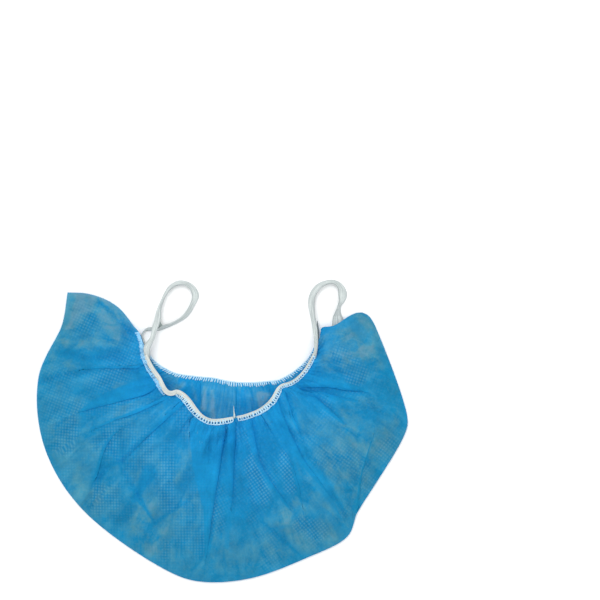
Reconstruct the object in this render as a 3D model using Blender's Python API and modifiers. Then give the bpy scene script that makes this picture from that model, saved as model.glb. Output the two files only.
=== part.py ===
"""Disposable beard cover of embossed non-woven cloth, lying on its back.

One strip of cloth is folded along its outer edge into a front layer and a back
layer.  A flat elastic gathers the two layers round the mouth and runs free at
both ends as the ear loops.  Metres, Z up, floor at zero, origin under the middle
of the pouch, +X to the right of the cover and +Y from the hem to the ear loops.
"""

import math

import bmesh
import bpy
import numpy as np

# Pouch, seen from above
POUCH_WIDTH = 0.252
POUCH_DEPTH = 0.197
CLOTH_WALL = 0.0012
EDGE_RADIUS = 0.0025
BELLY_RISE = 0.027
FOLD_HEIGHT = 0.006
GATHER_HEIGHT = 0.0011
GATHER_COUNT = 17
BACK_GATHER_HEIGHT = 0.0016

# Elastics and ear loops
ELASTIC_WIDTH = 0.004
ELASTIC_THICKNESS = 0.0012
LOOP_DIAMETER = 0.003
LAYER_GAP = 0.0006
LOOP_POINT_SPACING = 0.0045
LOOP_REST_SHARE = 0.53

# Mesh densities
STATIONS = 84
ROWS = 10
EDGE_ROWS = (0.0, 0.28, 0.62, 1.0)
DENSE = 24

# Outer fold of the pouch from the left peak round the hem to the right peak,
# across and along as shares of the pouch's width and depth.
OUTLINE = (
    # across, along
    (-0.415, 0.497),
    (-0.436, 0.378),
    (-0.497, 0.207),
    (-0.481, -0.035),
    (-0.375, -0.253),
    (-0.133, -0.469),
    (-0.052, -0.497),
    (0.074, -0.485),
    (0.224, -0.416),
    (0.336, -0.342),
    (0.364, -0.256),
    (0.393, -0.199),
    (0.491, 0.009),
    (0.499, 0.062),
    (0.416, 0.369),
    (0.396, 0.416),
    (0.378, 0.432),
)

# Corners of the mouth and the closed ends between a corner and its peak.
LEFT_CORNER = (-0.214, 0.324)
RIGHT_CORNER = (0.252, 0.329)
LEFT_END = (
    # across, along
    (-0.223, 0.355),
    (-0.240, 0.382),
    (-0.278, 0.441),
    (-0.315, 0.472),
    (-0.366, 0.493),
)
RIGHT_END = (
    # across, along
    (0.263, 0.358),
    (0.268, 0.376),
    (0.299, 0.383),
    (0.352, 0.421),
)

# Edge of the front layer at the mouth, left corner to right corner.
FRONT_RIM = (
    # across, along
    (-0.204, 0.282),
    (-0.168, 0.188),
    (-0.138, 0.158),
    (-0.100, 0.151),
    (-0.048, 0.078),
    (-0.015, 0.066),
    (0.092, 0.098),
    (0.139, 0.149),
    (0.150, 0.177),
    (0.206, 0.206),
)

# Edge of the back layer at the mouth, left corner to right corner.
BACK_RIM = (
    # across, along
    (-0.192, 0.270),
    (-0.142, 0.223),
    (-0.030, 0.201),
    (0.023, 0.188),
    (0.134, 0.188),
    (0.185, 0.219),
    (0.235, 0.271),
)

# Rise of the front layer over its flat end, as shares of BELLY_RISE.
SECTIONS = (
    # at, rim, belly, belly_at
    (0.00, 0.00, 0.00, 0.45),
    (0.06, 0.04, 0.22, 0.45),
    (0.14, 0.20, 0.56, 0.44),
    (0.26, 0.40, 0.84, 0.42),
    (0.42, 0.50, 0.98, 0.40),
    (0.56, 0.50, 1.00, 0.40),
    (0.70, 0.42, 0.92, 0.42),
    (0.84, 0.22, 0.64, 0.44),
    (0.94, 0.05, 0.24, 0.45),
    (1.00, 0.00, 0.00, 0.45),
)

# Pleats (height above zero) and creases (below zero) of the front layer.
FOLDS = (
    # at_rim, at_hem, height, width, reach
    (0.035, 0.015, -0.55, 0.012, 0.95),
    (0.080, 0.070, 0.35, 0.018, 0.70),
    (0.128, 0.120, -0.55, 0.012, 0.95),
    (0.160, 0.165, 0.55, 0.016, 0.85),
    (0.192, 0.196, 0.40, 0.014, 0.95),
    (0.215, 0.214, -0.60, 0.010, 0.90),
    (0.235, 0.232, 0.45, 0.014, 0.75),
    (0.275, 0.300, -0.40, 0.014, 0.60),
    (0.320, 0.350, 0.45, 0.020, 0.75),
    (0.368, 0.420, -0.50, 0.012, 0.80),
    (0.440, 0.462, 1.00, 0.028, 0.98),
    (0.500, 0.482, -0.85, 0.011, 0.95),
    (0.545, 0.560, 0.50, 0.018, 0.70),
    (0.574, 0.606, -0.55, 0.011, 0.80),
    (0.620, 0.640, 0.60, 0.018, 0.75),
    (0.682, 0.688, -0.60, 0.012, 1.00),
    (0.725, 0.760, 0.45, 0.018, 0.70),
    (0.765, 0.770, -0.40, 0.012, 0.50),
    (0.800, 0.830, 0.50, 0.020, 0.80),
    (0.838, 0.872, -0.60, 0.010, 0.85),
    (0.870, 0.905, 0.35, 0.012, 0.75),
    (0.900, 0.935, -0.50, 0.012, 0.60),
    (0.945, 0.965, 0.25, 0.014, 0.80),
)

# Gathers of the back layer near its rim.
BACK_FOLDS = (
    # at_rim, at_hem, height, width, reach
    (0.130, 0.130, 0.70, 0.020, 0.16),
    (0.250, 0.250, 1.00, 0.020, 0.20),
    (0.330, 0.330, 0.80, 0.018, 0.22),
    (0.425, 0.430, 1.00, 0.022, 0.24),
    (0.520, 0.520, 0.70, 0.018, 0.20),
    (0.610, 0.610, 0.90, 0.022, 0.22),
    (0.700, 0.705, 1.00, 0.020, 0.20),
    (0.830, 0.830, 0.70, 0.020, 0.16),
)

# Where the elastics start and stop along their rims.
FRONT_ELASTIC_SHARES = (0.050, 0.970)
BACK_ELASTIC_SHARES = (0.085, 0.915)

# Lifts of both layers over what runs under them, as shares of strip and depth.
RIM_BAND_SHARES = (0.07, 0.17)
RIM_FLAT_SHARE = 0.10
LEFT_LIFT_SHARES = (0.075, 0.140, 0.16, 0.32)
RIGHT_LIFT_SHARES = (0.075, 0.140, 0.62, 0.80)
FOLD_START_SHARES = (0.06, 0.30)

# Routes of the ear loops between the two elastics, across and along as shares of
# the pouch's width and depth, height as a share of the loop's diameter.
LEFT_LOOP = (
    # across, along, height
    (-0.2000, 0.3200, 4.20),
    (-0.1900, 0.3420, 3.80),
    (-0.1812, 0.3725, 2.95),
    (-0.1722, 0.4222, 1.90),
    (-0.1630, 0.4660, 1.10),
    (-0.1530, 0.4915, 0.65),
    (-0.1407, 0.5154, 0.53),
    (-0.1252, 0.5302, 0.53),
    (-0.1082, 0.5343, 0.53),
    (-0.0910, 0.5312, 0.53),
    (-0.0788, 0.5212, 0.53),
    (-0.0726, 0.5036, 0.53),
    (-0.0726, 0.4857, 0.53),
    (-0.0772, 0.4677, 0.53),
    (-0.0850, 0.4442, 0.53),
    (-0.0958, 0.4242, 0.53),
    (-0.1096, 0.4083, 0.53),
    (-0.1252, 0.3966, 0.53),
    (-0.1406, 0.3886, 0.53),
    (-0.1563, 0.3845, 0.53),
    (-0.1763, 0.3755, 0.53),
    (-0.1920, 0.3715, 0.53),
    (-0.2050, 0.3610, 0.53),
    (-0.2110, 0.3420, 0.53),
    (-0.2090, 0.3170, 0.53),
)
RIGHT_LOOP = (
    # across, along, height
    (0.2490, 0.3270, 4.10),
    (0.2494, 0.3499, 3.80),
    (0.2505, 0.3834, 2.90),
    (0.2470, 0.4093, 2.00),
    (0.2416, 0.4352, 1.20),
    (0.2391, 0.4591, 0.70),
    (0.2408, 0.4826, 0.53),
    (0.2486, 0.5064, 0.53),
    (0.2594, 0.5244, 0.53),
    (0.2734, 0.5371, 0.53),
    (0.2904, 0.5392, 0.53),
    (0.3074, 0.5344, 0.53),
    (0.3198, 0.5185, 0.53),
    (0.3244, 0.4984, 0.53),
    (0.3228, 0.4788, 0.53),
    (0.3182, 0.4549, 0.53),
    (0.3136, 0.4352, 0.53),
    (0.3074, 0.4152, 0.53),
    (0.3058, 0.3934, 0.53),
    (0.3000, 0.3700, 0.53),
    (0.2850, 0.3430, 0.53),
    (0.2650, 0.3170, 0.53),
    (0.2520, 0.2950, 0.53),
)

CLOTH_COLOUR = (0.035, 0.275, 0.505, 1.0)
ELASTIC_COLOUR = (0.72, 0.76, 0.75, 1.0)


def ease(value, start, stop):
    """Smooth step from 0 at start to 1 at stop."""
    t = np.clip((np.asarray(value, float) - start) / (stop - start), 0.0, 1.0)
    return t * t * (3.0 - 2.0 * t)


def curve_through(rows):
    """Dense smooth curve through the rows, with knots spaced by chord roots."""
    knots = np.array(rows, float)
    chords = np.sqrt((np.diff(knots, axis=0) ** 2).sum(axis=1))
    when = np.concatenate(([0.0], np.cumsum(np.sqrt(chords))))
    steps = np.diff(knots, axis=0) / np.diff(when)[:, None]
    slopes = np.empty_like(knots)
    slopes[0] = steps[0]
    slopes[-1] = steps[-1]
    share = (np.diff(when)[1:] / (np.diff(when)[1:] + np.diff(when)[:-1]))[:, None]
    slopes[1:-1] = steps[:-1] * share + steps[1:] * (1.0 - share)
    points = []
    for i in range(len(knots) - 1):
        span = when[i + 1] - when[i]
        t = np.linspace(0.0, 1.0, DENSE, endpoint=False)[:, None]
        points.append(
            (2 * t**3 - 3 * t**2 + 1) * knots[i]
            + (t**3 - 2 * t**2 + t) * span * slopes[i]
            + (3 * t**2 - 2 * t**3) * knots[i + 1]
            + (t**3 - t**2) * span * slopes[i + 1]
        )
    points.append(knots[-1:])
    return np.concatenate(points)


def arc_lengths(points):
    """Running length along a row of points."""
    return np.concatenate(([0.0], np.cumsum(np.sqrt((np.diff(points, axis=0) ** 2).sum(axis=1)))))


def at_share(points, share):
    """Points at shares of the curve's length."""
    run = arc_lengths(points)
    at = np.asarray(share, float) * run[-1]
    return np.stack([np.interp(at, run, points[:, k]) for k in range(points.shape[1])], axis=-1)


def plan_curve(rows):
    """Rows of shares as a dense curve in metres, to the outline's exact box."""
    dense = curve_through(rows)
    return (dense - OUTLINE_MIDDLE) / OUTLINE_SPAN * np.array((POUCH_WIDTH, POUCH_DEPTH))


OUTLINE_DENSE = curve_through(OUTLINE)
OUTLINE_MIDDLE = 0.5 * (OUTLINE_DENSE.min(axis=0) + OUTLINE_DENSE.max(axis=0))
OUTLINE_SPAN = OUTLINE_DENSE.max(axis=0) - OUTLINE_DENSE.min(axis=0)

HEM_CURVE = plan_curve(OUTLINE)
FRONT_CURVE = plan_curve((LEFT_CORNER,) + FRONT_RIM + (RIGHT_CORNER,))
BACK_CURVE = plan_curve((LEFT_CORNER,) + BACK_RIM + (RIGHT_CORNER,))
LEFT_CURVE = plan_curve((LEFT_CORNER,) + LEFT_END + (OUTLINE[0],))
RIGHT_CURVE = plan_curve((RIGHT_CORNER,) + RIGHT_END + (OUTLINE[-1],))
RIM_LENGTH = arc_lengths(FRONT_CURVE)[-1]
HEM_LENGTH = arc_lengths(HEM_CURVE)[-1]


def plan_at(rim_curve, along, down):
    """Plan position; along runs left to right and down from the rim to the hem."""
    rim = at_share(rim_curve, along)
    hem = at_share(HEM_CURVE, along)
    a = np.asarray(along, float)[..., None]
    d = np.asarray(down, float)[..., None]
    straight = (1.0 - d) * rim + d * hem
    left = at_share(LEFT_CURVE, down) - ((1.0 - d) * rim_curve[0] + d * HEM_CURVE[0])
    right = at_share(RIGHT_CURVE, down) - ((1.0 - d) * rim_curve[-1] + d * HEM_CURVE[-1])
    return straight + (1.0 - a) ** 3 * left + a**3 * right


def section_value(column, along):
    """Smooth value of one SECTIONS column."""
    dense = curve_through([(row[0], row[column]) for row in SECTIONS])
    return np.interp(along, dense[:, 0], dense[:, 1])


def folds_at(folds, along, down):
    """Summed pleats and creases, as shares of their height."""
    total = np.zeros(np.broadcast(along, down).shape)
    for at_rim, at_hem, height, width, reach in folds:
        middle = at_rim + (at_hem - at_rim) * down
        bump = np.exp(-(((along - middle) / width) ** 2))
        fade = 1.0 - ease(down, 0.6 * reach, reach)
        total = total + height * bump * fade
    return total


def lift_at(along, down):
    """Lift of both layers over the back elastic and over the ear loops' ends."""
    rim = (ELASTIC_THICKNESS + LAYER_GAP) * (1.0 - ease(down, *RIM_BAND_SHARES))
    end = LOOP_DIAMETER + 2.0 * LAYER_GAP
    left = end * (1.0 - ease(along, *LEFT_LIFT_SHARES[:2])) * (1.0 - ease(down, *LEFT_LIFT_SHARES[2:]))
    right = end * (1.0 - ease(1.0 - along, *RIGHT_LIFT_SHARES[:2])) * (1.0 - ease(down, *RIGHT_LIFT_SHARES[2:]))
    return np.maximum(rim, np.maximum(left, right))


def front_rise(along, down):
    """Rise of the front layer over the closed ends, with its folds and gathers."""
    rim = section_value(1, along)
    belly = section_value(2, along)
    crest = section_value(3, along)
    climb = ease(down / crest, RIM_FLAT_SHARE, 1.0)
    fall = np.clip((down - crest) / (1.0 - crest), 0.0, 1.0)
    shape = np.where(down < crest, rim + (belly - rim) * climb, belly * (1.0 - fall**2) ** 1.15)
    calm = ease(along, 0.0, 0.05) * ease(1.0 - along, 0.0, 0.05) * ease(1.0 - down, 0.0, 0.12)
    folds = FOLD_HEIGHT * folds_at(FOLDS, along, down) * ease(down, *FOLD_START_SHARES)
    waves = np.sin(2.0 * math.pi * GATHER_COUNT * along) * (1.0 - ease(down, 0.15, 0.50))
    gathers = GATHER_HEIGHT * waves * ease(down, FOLD_START_SHARES[0], 0.5 * FOLD_START_SHARES[1])
    return np.maximum(BELLY_RISE * shape + calm * (folds + gathers), 0.0)


def surface_point(layer, along, down, edge_along, edge_down):
    """Outer face of a layer; the edge shares round it off towards its edges."""
    rim_curve = FRONT_CURVE if layer == "front" else BACK_CURVE
    plan = plan_at(rim_curve, along, down)
    half = EDGE_RADIUS * edge_along * edge_down
    middle = EDGE_RADIUS + lift_at(along, down)
    if layer == "front":
        height = middle + half + front_rise(along, down)
    else:
        folds = BACK_GATHER_HEIGHT * folds_at(BACK_FOLDS, along, down)
        height = middle - half + folds * ease(down, *RIM_BAND_SHARES)
    return np.concatenate((plan, height[..., None]), axis=-1)


def rounded(share):
    """Inset and half height of the rounded edge at a share of its quarter turn."""
    turn = 0.5 * math.pi * np.asarray(share, float)
    return 1.0 - np.cos(turn), np.sin(turn)


def layer_grid(layer, rows):
    """Grid of points of a layer, stations along by rows down to the hem."""
    rim_curve = FRONT_CURVE if layer == "front" else BACK_CURVE
    inset, rise = rounded(EDGE_ROWS)
    inner = np.linspace(0.0, 1.0, STATIONS - 2 * (len(EDGE_ROWS) - 1) + 1)
    count = len(inner) + 2 * (len(EDGE_ROWS) - 1)
    across = np.linalg.norm(at_share(rim_curve, inner) - at_share(HEM_CURVE, inner), axis=1)
    grid = np.zeros((count, rows + len(EDGE_ROWS), 3))
    deep = EDGE_RADIUS / np.interp(np.linspace(0.0, 1.0, count), inner, across)
    spread = np.linspace(0.0, 1.0, rows + 1) ** 1.15
    for j in range(rows + len(EDGE_ROWS)):
        if j <= rows:
            down = spread[j] * (1.0 - deep)
            edge_down = np.ones(count)
        else:
            k = rows + len(EDGE_ROWS) - 1 - j
            down = 1.0 - deep * inset[k]
            edge_down = np.full(count, rise[k])
        row_length = RIM_LENGTH + (HEM_LENGTH - RIM_LENGTH) * down[0]
        end = EDGE_RADIUS / row_length
        along = np.concatenate((end * inset[:-1], end + inner * (1.0 - 2.0 * end), 1.0 - end * inset[-2::-1]))
        edge_along = np.concatenate((rise[:-1], np.ones(len(inner)), rise[-2::-1]))
        grid[:, j] = surface_point(layer, along, down, edge_along, edge_down)
    return grid


def new_object(name, vertices, faces, collection, material):
    """Mesh object of the given vertices and faces."""
    mesh = bpy.data.meshes.new(name)
    mesh.from_pydata([tuple(v) for v in vertices], [], faces)
    mesh.materials.append(material)
    made = bpy.data.objects.new(name, mesh)
    collection.objects.link(made)
    return made


def make_pouch(collection, material):
    """Both layers as one open skin, thickened inwards by the cloth wall."""
    front = layer_grid("front", ROWS)
    back = layer_grid("back", ROWS)
    vertices = []
    faces = []
    index = {}
    for name, grid in (("front", front), ("back", back)):
        count, rows = grid.shape[:2]
        for i in range(count):
            for j in range(rows):
                index[name, i, j] = len(vertices)
                vertices.append(grid[i, j])
    for name, grid in (("front", front), ("back", back)):
        count, rows = grid.shape[:2]
        for i in range(count - 1):
            for j in range(rows - 1):
                ring = [index[name, i, j], index[name, i, j + 1], index[name, i + 1, j + 1], index[name, i + 1, j]]
                faces.append(ring if name == "front" else ring[::-1])
    pouch = new_object("pouch", vertices, faces, collection, material)
    body = bmesh.new()
    body.from_mesh(pouch.data)
    close_ends(body, front, index)
    body.to_mesh(pouch.data)
    body.free()
    wall = pouch.modifiers.new("wall", "SOLIDIFY")
    wall.thickness = CLOTH_WALL
    wall.offset = -1.0
    return pouch


def close_ends(body, front, index):
    """Weld the hem and the two closed ends of the front and back layers."""
    body.verts.ensure_lookup_table()
    pairs = {}
    stations, rows = front.shape[:2]
    for i in range(stations):
        for j in range(rows):
            if i in (0, stations - 1) or j == rows - 1:
                pairs[index["back", i, j]] = index["front", i, j]
    target = {body.verts[a]: body.verts[b] for a, b in pairs.items()}
    bmesh.ops.weld_verts(body, targetmap=target)


def strip(name, points_low, points_high, collection, material):
    """Flat band between two rows of points, as a closed body of even thickness."""
    vertices = []
    faces = []
    for low, high in zip(points_low, points_high):
        up = np.array((0.0, 0.0, ELASTIC_THICKNESS))
        vertices += [low, high, high + up, low + up]
    last = len(points_low) - 1
    for i in range(last):
        for k in range(4):
            a = 4 * i + k
            b = 4 * i + (k + 1) % 4
            faces.append((a, b, b + 4, a + 4))
    faces.append((3, 2, 1, 0))
    faces.append((4 * last, 4 * last + 1, 4 * last + 2, 4 * last + 3))
    made = new_object(name, vertices, faces, collection, material)
    body = bmesh.new()
    body.from_mesh(made.data)
    bmesh.ops.recalc_face_normals(body, faces=body.faces)
    body.to_mesh(made.data)
    body.free()
    return made


def elastic_rows(layer, span):
    """Inner and outer edge of the elastic on the outer face of a rim."""
    rim_curve = FRONT_CURVE if layer == "front" else BACK_CURVE
    along = np.linspace(span[0], span[1], STATIONS + 1)
    depth = np.linalg.norm(at_share(rim_curve, along) - at_share(HEM_CURVE, along), axis=1)
    ones = np.ones_like(along)
    low = surface_point(layer, along, 0.0 * along, ones, ones)
    high = surface_point(layer, along, ELASTIC_WIDTH / depth, ones, ones)
    if layer == "front":
        top = np.maximum(low[:, 2], high[:, 2]) + LAYER_GAP
        low[:, 2] = top
        high[:, 2] = top
    else:
        low[:, 2] = 0.0
        high[:, 2] = 0.0
    return low, high


def loop_route(rows, front_end, back_end):
    """Smooth centre line of an ear loop from the front to the back elastic."""
    scale = np.array((POUCH_WIDTH, POUCH_DEPTH, LOOP_DIAMETER))
    knots = [np.array(row) * scale for row in rows]
    return curve_through([front_end] + knots + [back_end])


def loop_end(low, high, beyond, layer):
    """Point just beyond the cut end of an elastic, on its centre line."""
    middle = 0.5 * (low + high)
    ahead = middle[0] - middle[1] if beyond < 0 else middle[-1] - middle[-2]
    place = middle[0] if beyond < 0 else middle[-1]
    ahead = ahead / np.linalg.norm(ahead)
    point = place + ahead * (0.5 * LOOP_DIAMETER + LAYER_GAP)
    point[2] = place[2] + 0.5 * LOOP_DIAMETER if layer == "front" else LOOP_REST_SHARE * LOOP_DIAMETER
    return point


def make_loop(name, route, collection, material):
    """Round cord along the route with flat closed ends."""
    count = max(8, int(round(arc_lengths(route)[-1] / LOOP_POINT_SPACING)))
    points = at_share(route, np.linspace(0.0, 1.0, count + 1))
    curve = bpy.data.curves.new(name, "CURVE")
    curve.dimensions = "3D"
    curve.bevel_depth = 0.5 * LOOP_DIAMETER
    curve.bevel_resolution = 2
    curve.use_fill_caps = True
    line = curve.splines.new("POLY")
    line.points.add(len(points) - 1)
    for point, place in zip(line.points, points):
        point.co = (place[0], place[1], place[2], 1.0)
    curve.materials.append(material)
    made = bpy.data.objects.new(name, curve)
    collection.objects.link(made)
    return made


def plain_material(name, colour, roughness):
    """Principled material of one colour."""
    material = bpy.data.materials.new(name)
    material.use_nodes = True
    shader = material.node_tree.nodes["Principled BSDF"]
    shader.inputs["Base Color"].default_value = colour
    shader.inputs["Roughness"].default_value = roughness
    material.diffuse_color = colour
    return material


def build():
    """Make every piece of the cover in its own collection."""
    for old in list(bpy.data.objects):
        bpy.data.objects.remove(old, do_unlink=True)
    collection = bpy.data.collections.new("beard_cover")
    bpy.context.scene.collection.children.link(collection)
    make_pouch(collection, plain_material("pouch_cloth", CLOTH_COLOUR, 0.8))
    front_low, front_high = elastic_rows("front", FRONT_ELASTIC_SHARES)
    back_low, back_high = elastic_rows("back", BACK_ELASTIC_SHARES)
    strip("front_elastic", front_low, front_high, collection, plain_material("front_elastic", ELASTIC_COLOUR, 0.7))
    strip("back_elastic", back_low, back_high, collection, plain_material("back_elastic", ELASTIC_COLOUR, 0.7))
    left = loop_route(
        LEFT_LOOP,
        loop_end(front_low, front_high, -1, "front"),
        loop_end(back_low, back_high, -1, "back"),
    )
    right = loop_route(
        RIGHT_LOOP,
        loop_end(front_low, front_high, 1, "front"),
        loop_end(back_low, back_high, 1, "back"),
    )
    make_loop("left_ear_loop", left, collection, plain_material("left_ear_loop", ELASTIC_COLOUR, 0.7))
    make_loop("right_ear_loop", right, collection, plain_material("right_ear_loop", ELASTIC_COLOUR, 0.7))


build()
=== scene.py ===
"""Disposable beard cover lying flat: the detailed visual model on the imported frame."""

import math

import bmesh
import bpy
import numpy as np
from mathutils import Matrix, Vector
from mathutils.bvhtree import BVHTree


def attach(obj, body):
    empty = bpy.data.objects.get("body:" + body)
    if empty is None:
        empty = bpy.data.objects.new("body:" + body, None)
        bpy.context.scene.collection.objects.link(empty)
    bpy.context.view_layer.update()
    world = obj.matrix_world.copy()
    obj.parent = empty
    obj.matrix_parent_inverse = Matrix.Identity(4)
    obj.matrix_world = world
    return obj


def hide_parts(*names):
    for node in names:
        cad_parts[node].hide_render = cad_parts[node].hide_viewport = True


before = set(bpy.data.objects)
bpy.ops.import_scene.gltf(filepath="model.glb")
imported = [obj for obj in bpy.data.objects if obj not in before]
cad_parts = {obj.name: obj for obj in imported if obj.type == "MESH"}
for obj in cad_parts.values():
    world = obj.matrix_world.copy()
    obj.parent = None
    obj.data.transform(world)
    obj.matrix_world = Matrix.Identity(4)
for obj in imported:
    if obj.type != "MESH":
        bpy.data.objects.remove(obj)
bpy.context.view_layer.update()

# Pouch, seen from above, as in the part's source (metres)
POUCH_WIDTH = 0.252
POUCH_DEPTH = 0.197
BELLY_RISE = 0.024
EDGE_HALF = 0.0011
MM = 0.001
UP = np.array((0.0, 0.0, 1.0))

# Cloth grids: spacing of the columns and number of rows in each layer
FRONT_STEP = 0.00115
FRONT_ROWS = 128
BACK_STEP = 0.0019
BACK_ROWS = 76
MEAN_WIDTH = 0.36

# Cloth: height of a ply, swell of an open pleat, lift over the elastic and over a loop's end
PLY = 0.00012
EDGE_PUFF = 0.00006
BAND_LIFT = 0.0016
LOOP_LIFT = 0.0030
BACK_RIM_DROP = 0.0012
# Least heights: of the front over the back, added for a ply, and of the back over the floor
LAYER_GAP = 0.0004
PLY_GAP = 0.0004
BACK_LEAST = 0.0002
# Solver: slack of the cloth, start height of the gathers, share of the way down that is pinned
SLACK = 0.006
GATHER_HEIGHT = 0.0007
RIM_PINNED = 0.030
# How firmly each point is held to its home: anywhere, at the fold, beside it, at the ends
HOLD = 0.010
HEM_HOLD = 0.6
BESIDE_HEM_HOLD = 0.3
END_HOLD = 0.5
# Shares over which the fold, the closed ends and the overlap's start are rounded
HEM_ROUND = 0.02
END_ROUND = 0.008
PLY_RAMP = 0.014
# Overlap, as a share of the rim, from which a pleat counts as one more ply
FULL_PLY = 0.004
# Lengths of the front rim and of what the fold has more, as shading sees them
RIM_LENGTH = 0.169
HEM_EXTRA = 0.360
# How softly bands of plies and of the lattice fade beside them, in millimetres
BAND_FADE = (-1.36, 1.70)
WEAVE_FADE = 2.38
# Width of the painted shade line and the painted highlight line along a pleat's open edge
EDGE_LINE = 0.0023

# Outline, ends and rims of the pouch: across and along as shares of its width and depth
OUTLINE = (
    (-0.419, 0.497), (-0.423, 0.458), (-0.427, 0.423), (-0.436, 0.378), (-0.497, 0.207),
    (-0.481, -0.035), (-0.375, -0.253), (-0.133, -0.469), (-0.052, -0.497), (0.074, -0.485),
    (0.224, -0.416), (0.336, -0.342), (0.364, -0.256), (0.393, -0.199), (0.491, 0.009),
    (0.499, 0.062), (0.416, 0.369), (0.402, 0.404), (0.391, 0.42), (0.376, 0.4285),
)
LEFT_CORNER = (-0.214, 0.324)
RIGHT_CORNER = (0.252, 0.329)
LEFT_END = (
    (-0.223, 0.355), (-0.24, 0.382), (-0.278, 0.441), (-0.315, 0.472), (-0.366, 0.493),
)
RIGHT_END = (
    (0.26, 0.338), (0.2635, 0.358), (0.268, 0.376), (0.299, 0.383), (0.34, 0.415), (0.36, 0.4262),
)
FRONT_RIM = (
    (-0.2008, 0.2834), (-0.1929, 0.2606), (-0.1835, 0.2392), (-0.1724, 0.2192), (-0.1638, 0.203),
    (-0.1568, 0.184), (-0.1498, 0.1702), (-0.1438, 0.1612), (-0.1373, 0.1584), (-0.1314, 0.1619),
    (-0.1244, 0.1657), (-0.1163, 0.164), (-0.106, 0.1577), (-0.0953, 0.147), (-0.0828, 0.1294),
    (-0.0718, 0.1091), (-0.061, 0.0915), (-0.0488, 0.0763), (-0.0305, 0.0659), (-0.0089, 0.0656),
    (0.0256, 0.0721), (0.0567, 0.0794), (0.075, 0.0873), (0.0936, 0.097), (0.1101, 0.1105),
    (0.1247, 0.127), (0.1349, 0.1446), (0.1417, 0.1612), (0.15, 0.1764), (0.1611, 0.1854),
    (0.1773, 0.1902), (0.1919, 0.1992), (0.2059, 0.2144), (0.218, 0.2316), (0.2286, 0.2523),
    (0.2383, 0.2758), (0.248, 0.3013),
)
BACK_RIM = (
    (-0.1967, 0.2813), (-0.1854, 0.2634), (-0.1692, 0.2454), (-0.1519, 0.233), (-0.133, 0.2206),
    (-0.1087, 0.2133), (-0.0872, 0.2102), (-0.0623, 0.2061), (-0.0259, 0.2026), (-0.0054, 0.1968),
    (0.0194, 0.1902), (0.0523, 0.1864), (0.0855, 0.1867), (0.1185, 0.1902), (0.1503, 0.195),
    (0.17, 0.2068), (0.1846, 0.2171), (0.201, 0.233), (0.2197, 0.2537), (0.235, 0.2772),
)
# Heights along the rim: at, rim, belly, place of the belly
SECTIONS = (
    (0, 0, 0, 0.45), (0.06, 0.04, 0.22, 0.45), (0.14, 0.2, 0.56, 0.44), (0.26, 0.4, 0.84, 0.42),
    (0.42, 0.5, 0.98, 0.4), (0.56, 0.5, 1, 0.4), (0.7, 0.42, 0.92, 0.42), (0.84, 0.22, 0.64, 0.44),
    (0.94, 0.05, 0.24, 0.45), (1, 0, 0, 0.45),
)


def pleat_tables(rows):
    """Knife pleats from percentages: side of the open edge, then rows of shares."""
    return [(side, np.array(table) / 100.0) for side, *table in rows]


# Knife pleats in percent: side of the open edge, then rows of way down, edge and overlap
FRONT_PLEATS = pleat_tables((
    (1, (3, 8.8, 0), (10, 10.4, 0.8), (19, 12.4, 1), (41, 12.6, 0.7), (65, 12.2, 0.3), (80, 12, 0)),
    (1, (2, 18, 0), (5, 18.2, 6), (12, 19.6, 5.6), (19, 20.1, 4.8), (39, 19.6, 3.1), (59, 19, 1.4),
     (72, 18.6, 0.2), (80, 18.4, 0)),
    (1, (2, 26.2, 0), (8, 26.2, 2.6), (18, 25.3, 2.1), (26, 24.6, 1.8), (48, 22.6, 0.6),
     (64, 22.3, 0.3), (74, 21.9, 0)),
    (1, (44, 25.2, 0), (56, 25.2, 0.5), (67, 26.4, 0.8), (79, 28.4, 0.6), (90, 29.2, 0),
     (100, 29.3, 0)),
    (1, (2, 31.8, 0), (8, 31.2, 1.6), (19, 30.6, 1.3), (34, 30.1, 0.9), (50, 29.8, 0.5),
     (62, 30, 0), (80, 30.6, 0)),
    (1, (2, 49.2, 0), (5, 49.4, 12), (9, 49.4, 13.2), (13, 49.4, 12), (27, 49.2, 8),
     (43, 48.7, 4.4), (56, 48.5, 2), (68, 48.4, 1), (84, 48.3, 0.4), (96, 48.2, 0)),
    (1, (2, 53.2, 0), (6, 53.2, 3), (22, 52.8, 2.2), (46, 52.2, 0.8), (62, 51.6, 0), (90, 51.4, 0)),
    (1, (2, 59.2, 0), (6, 59.2, 2.6), (19, 59.1, 2), (31, 59.1, 1.3), (40, 59.8, 1.1),
     (60, 61.6, 0.6), (70, 62.4, 0.2), (76, 62.7, 0)),
    (1, (2, 63, 0), (28, 65.2, 0.1), (44, 65.6, 0.5), (59, 64.8, 0.6), (70, 64, 0.2),
     (76, 63.8, 0)),
    (1, (2, 71.6, 0), (6, 71.2, 6.4), (12, 70, 5), (20, 69.6, 4), (35, 68.7, 2.2), (45, 68.3, 1.1),
     (62, 68.8, 0.7), (74, 68.9, 0.3), (84, 68.6, 0)),
    (1, (2, 75.6, 0), (8, 75.2, 1.2), (22, 72.7, 1), (36, 71.2, 0.4), (44, 70.8, 0), (100, 69, 0)),
    (1, (5, 77.6, 0), (12, 78.4, 0.1), (26, 80.6, 1), (39, 80.2, 1.3), (52, 79.7, 0.6),
     (60, 79.4, 0), (78, 78, 0), (90, 72, 0), (100, 69.6, 0)),
    (1, (10, 79.8, 0), (30, 82.2, 0), (66, 83.4, 0), (78, 81.6, 0.2), (83, 78, 0.5),
     (88, 75.2, 0.8), (94, 73.2, 0.9), (100, 71.4, 0.6)),
    (1, (6, 80, 0), (12, 80.4, 0.5), (26, 82.4, 0.8), (40, 83.6, 0.8), (52, 84.4, 0.5),
     (62, 84.8, 0), (100, 84, 0)),
    (-1, (5, 80.6, 0), (10, 81, 0.8), (20, 82.6, 1.4), (33, 84.5, 1.8), (48, 85.8, 1.6),
     (60, 86.5, 0.8), (70, 86.6, 0), (100, 85, 0)),
))
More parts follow.
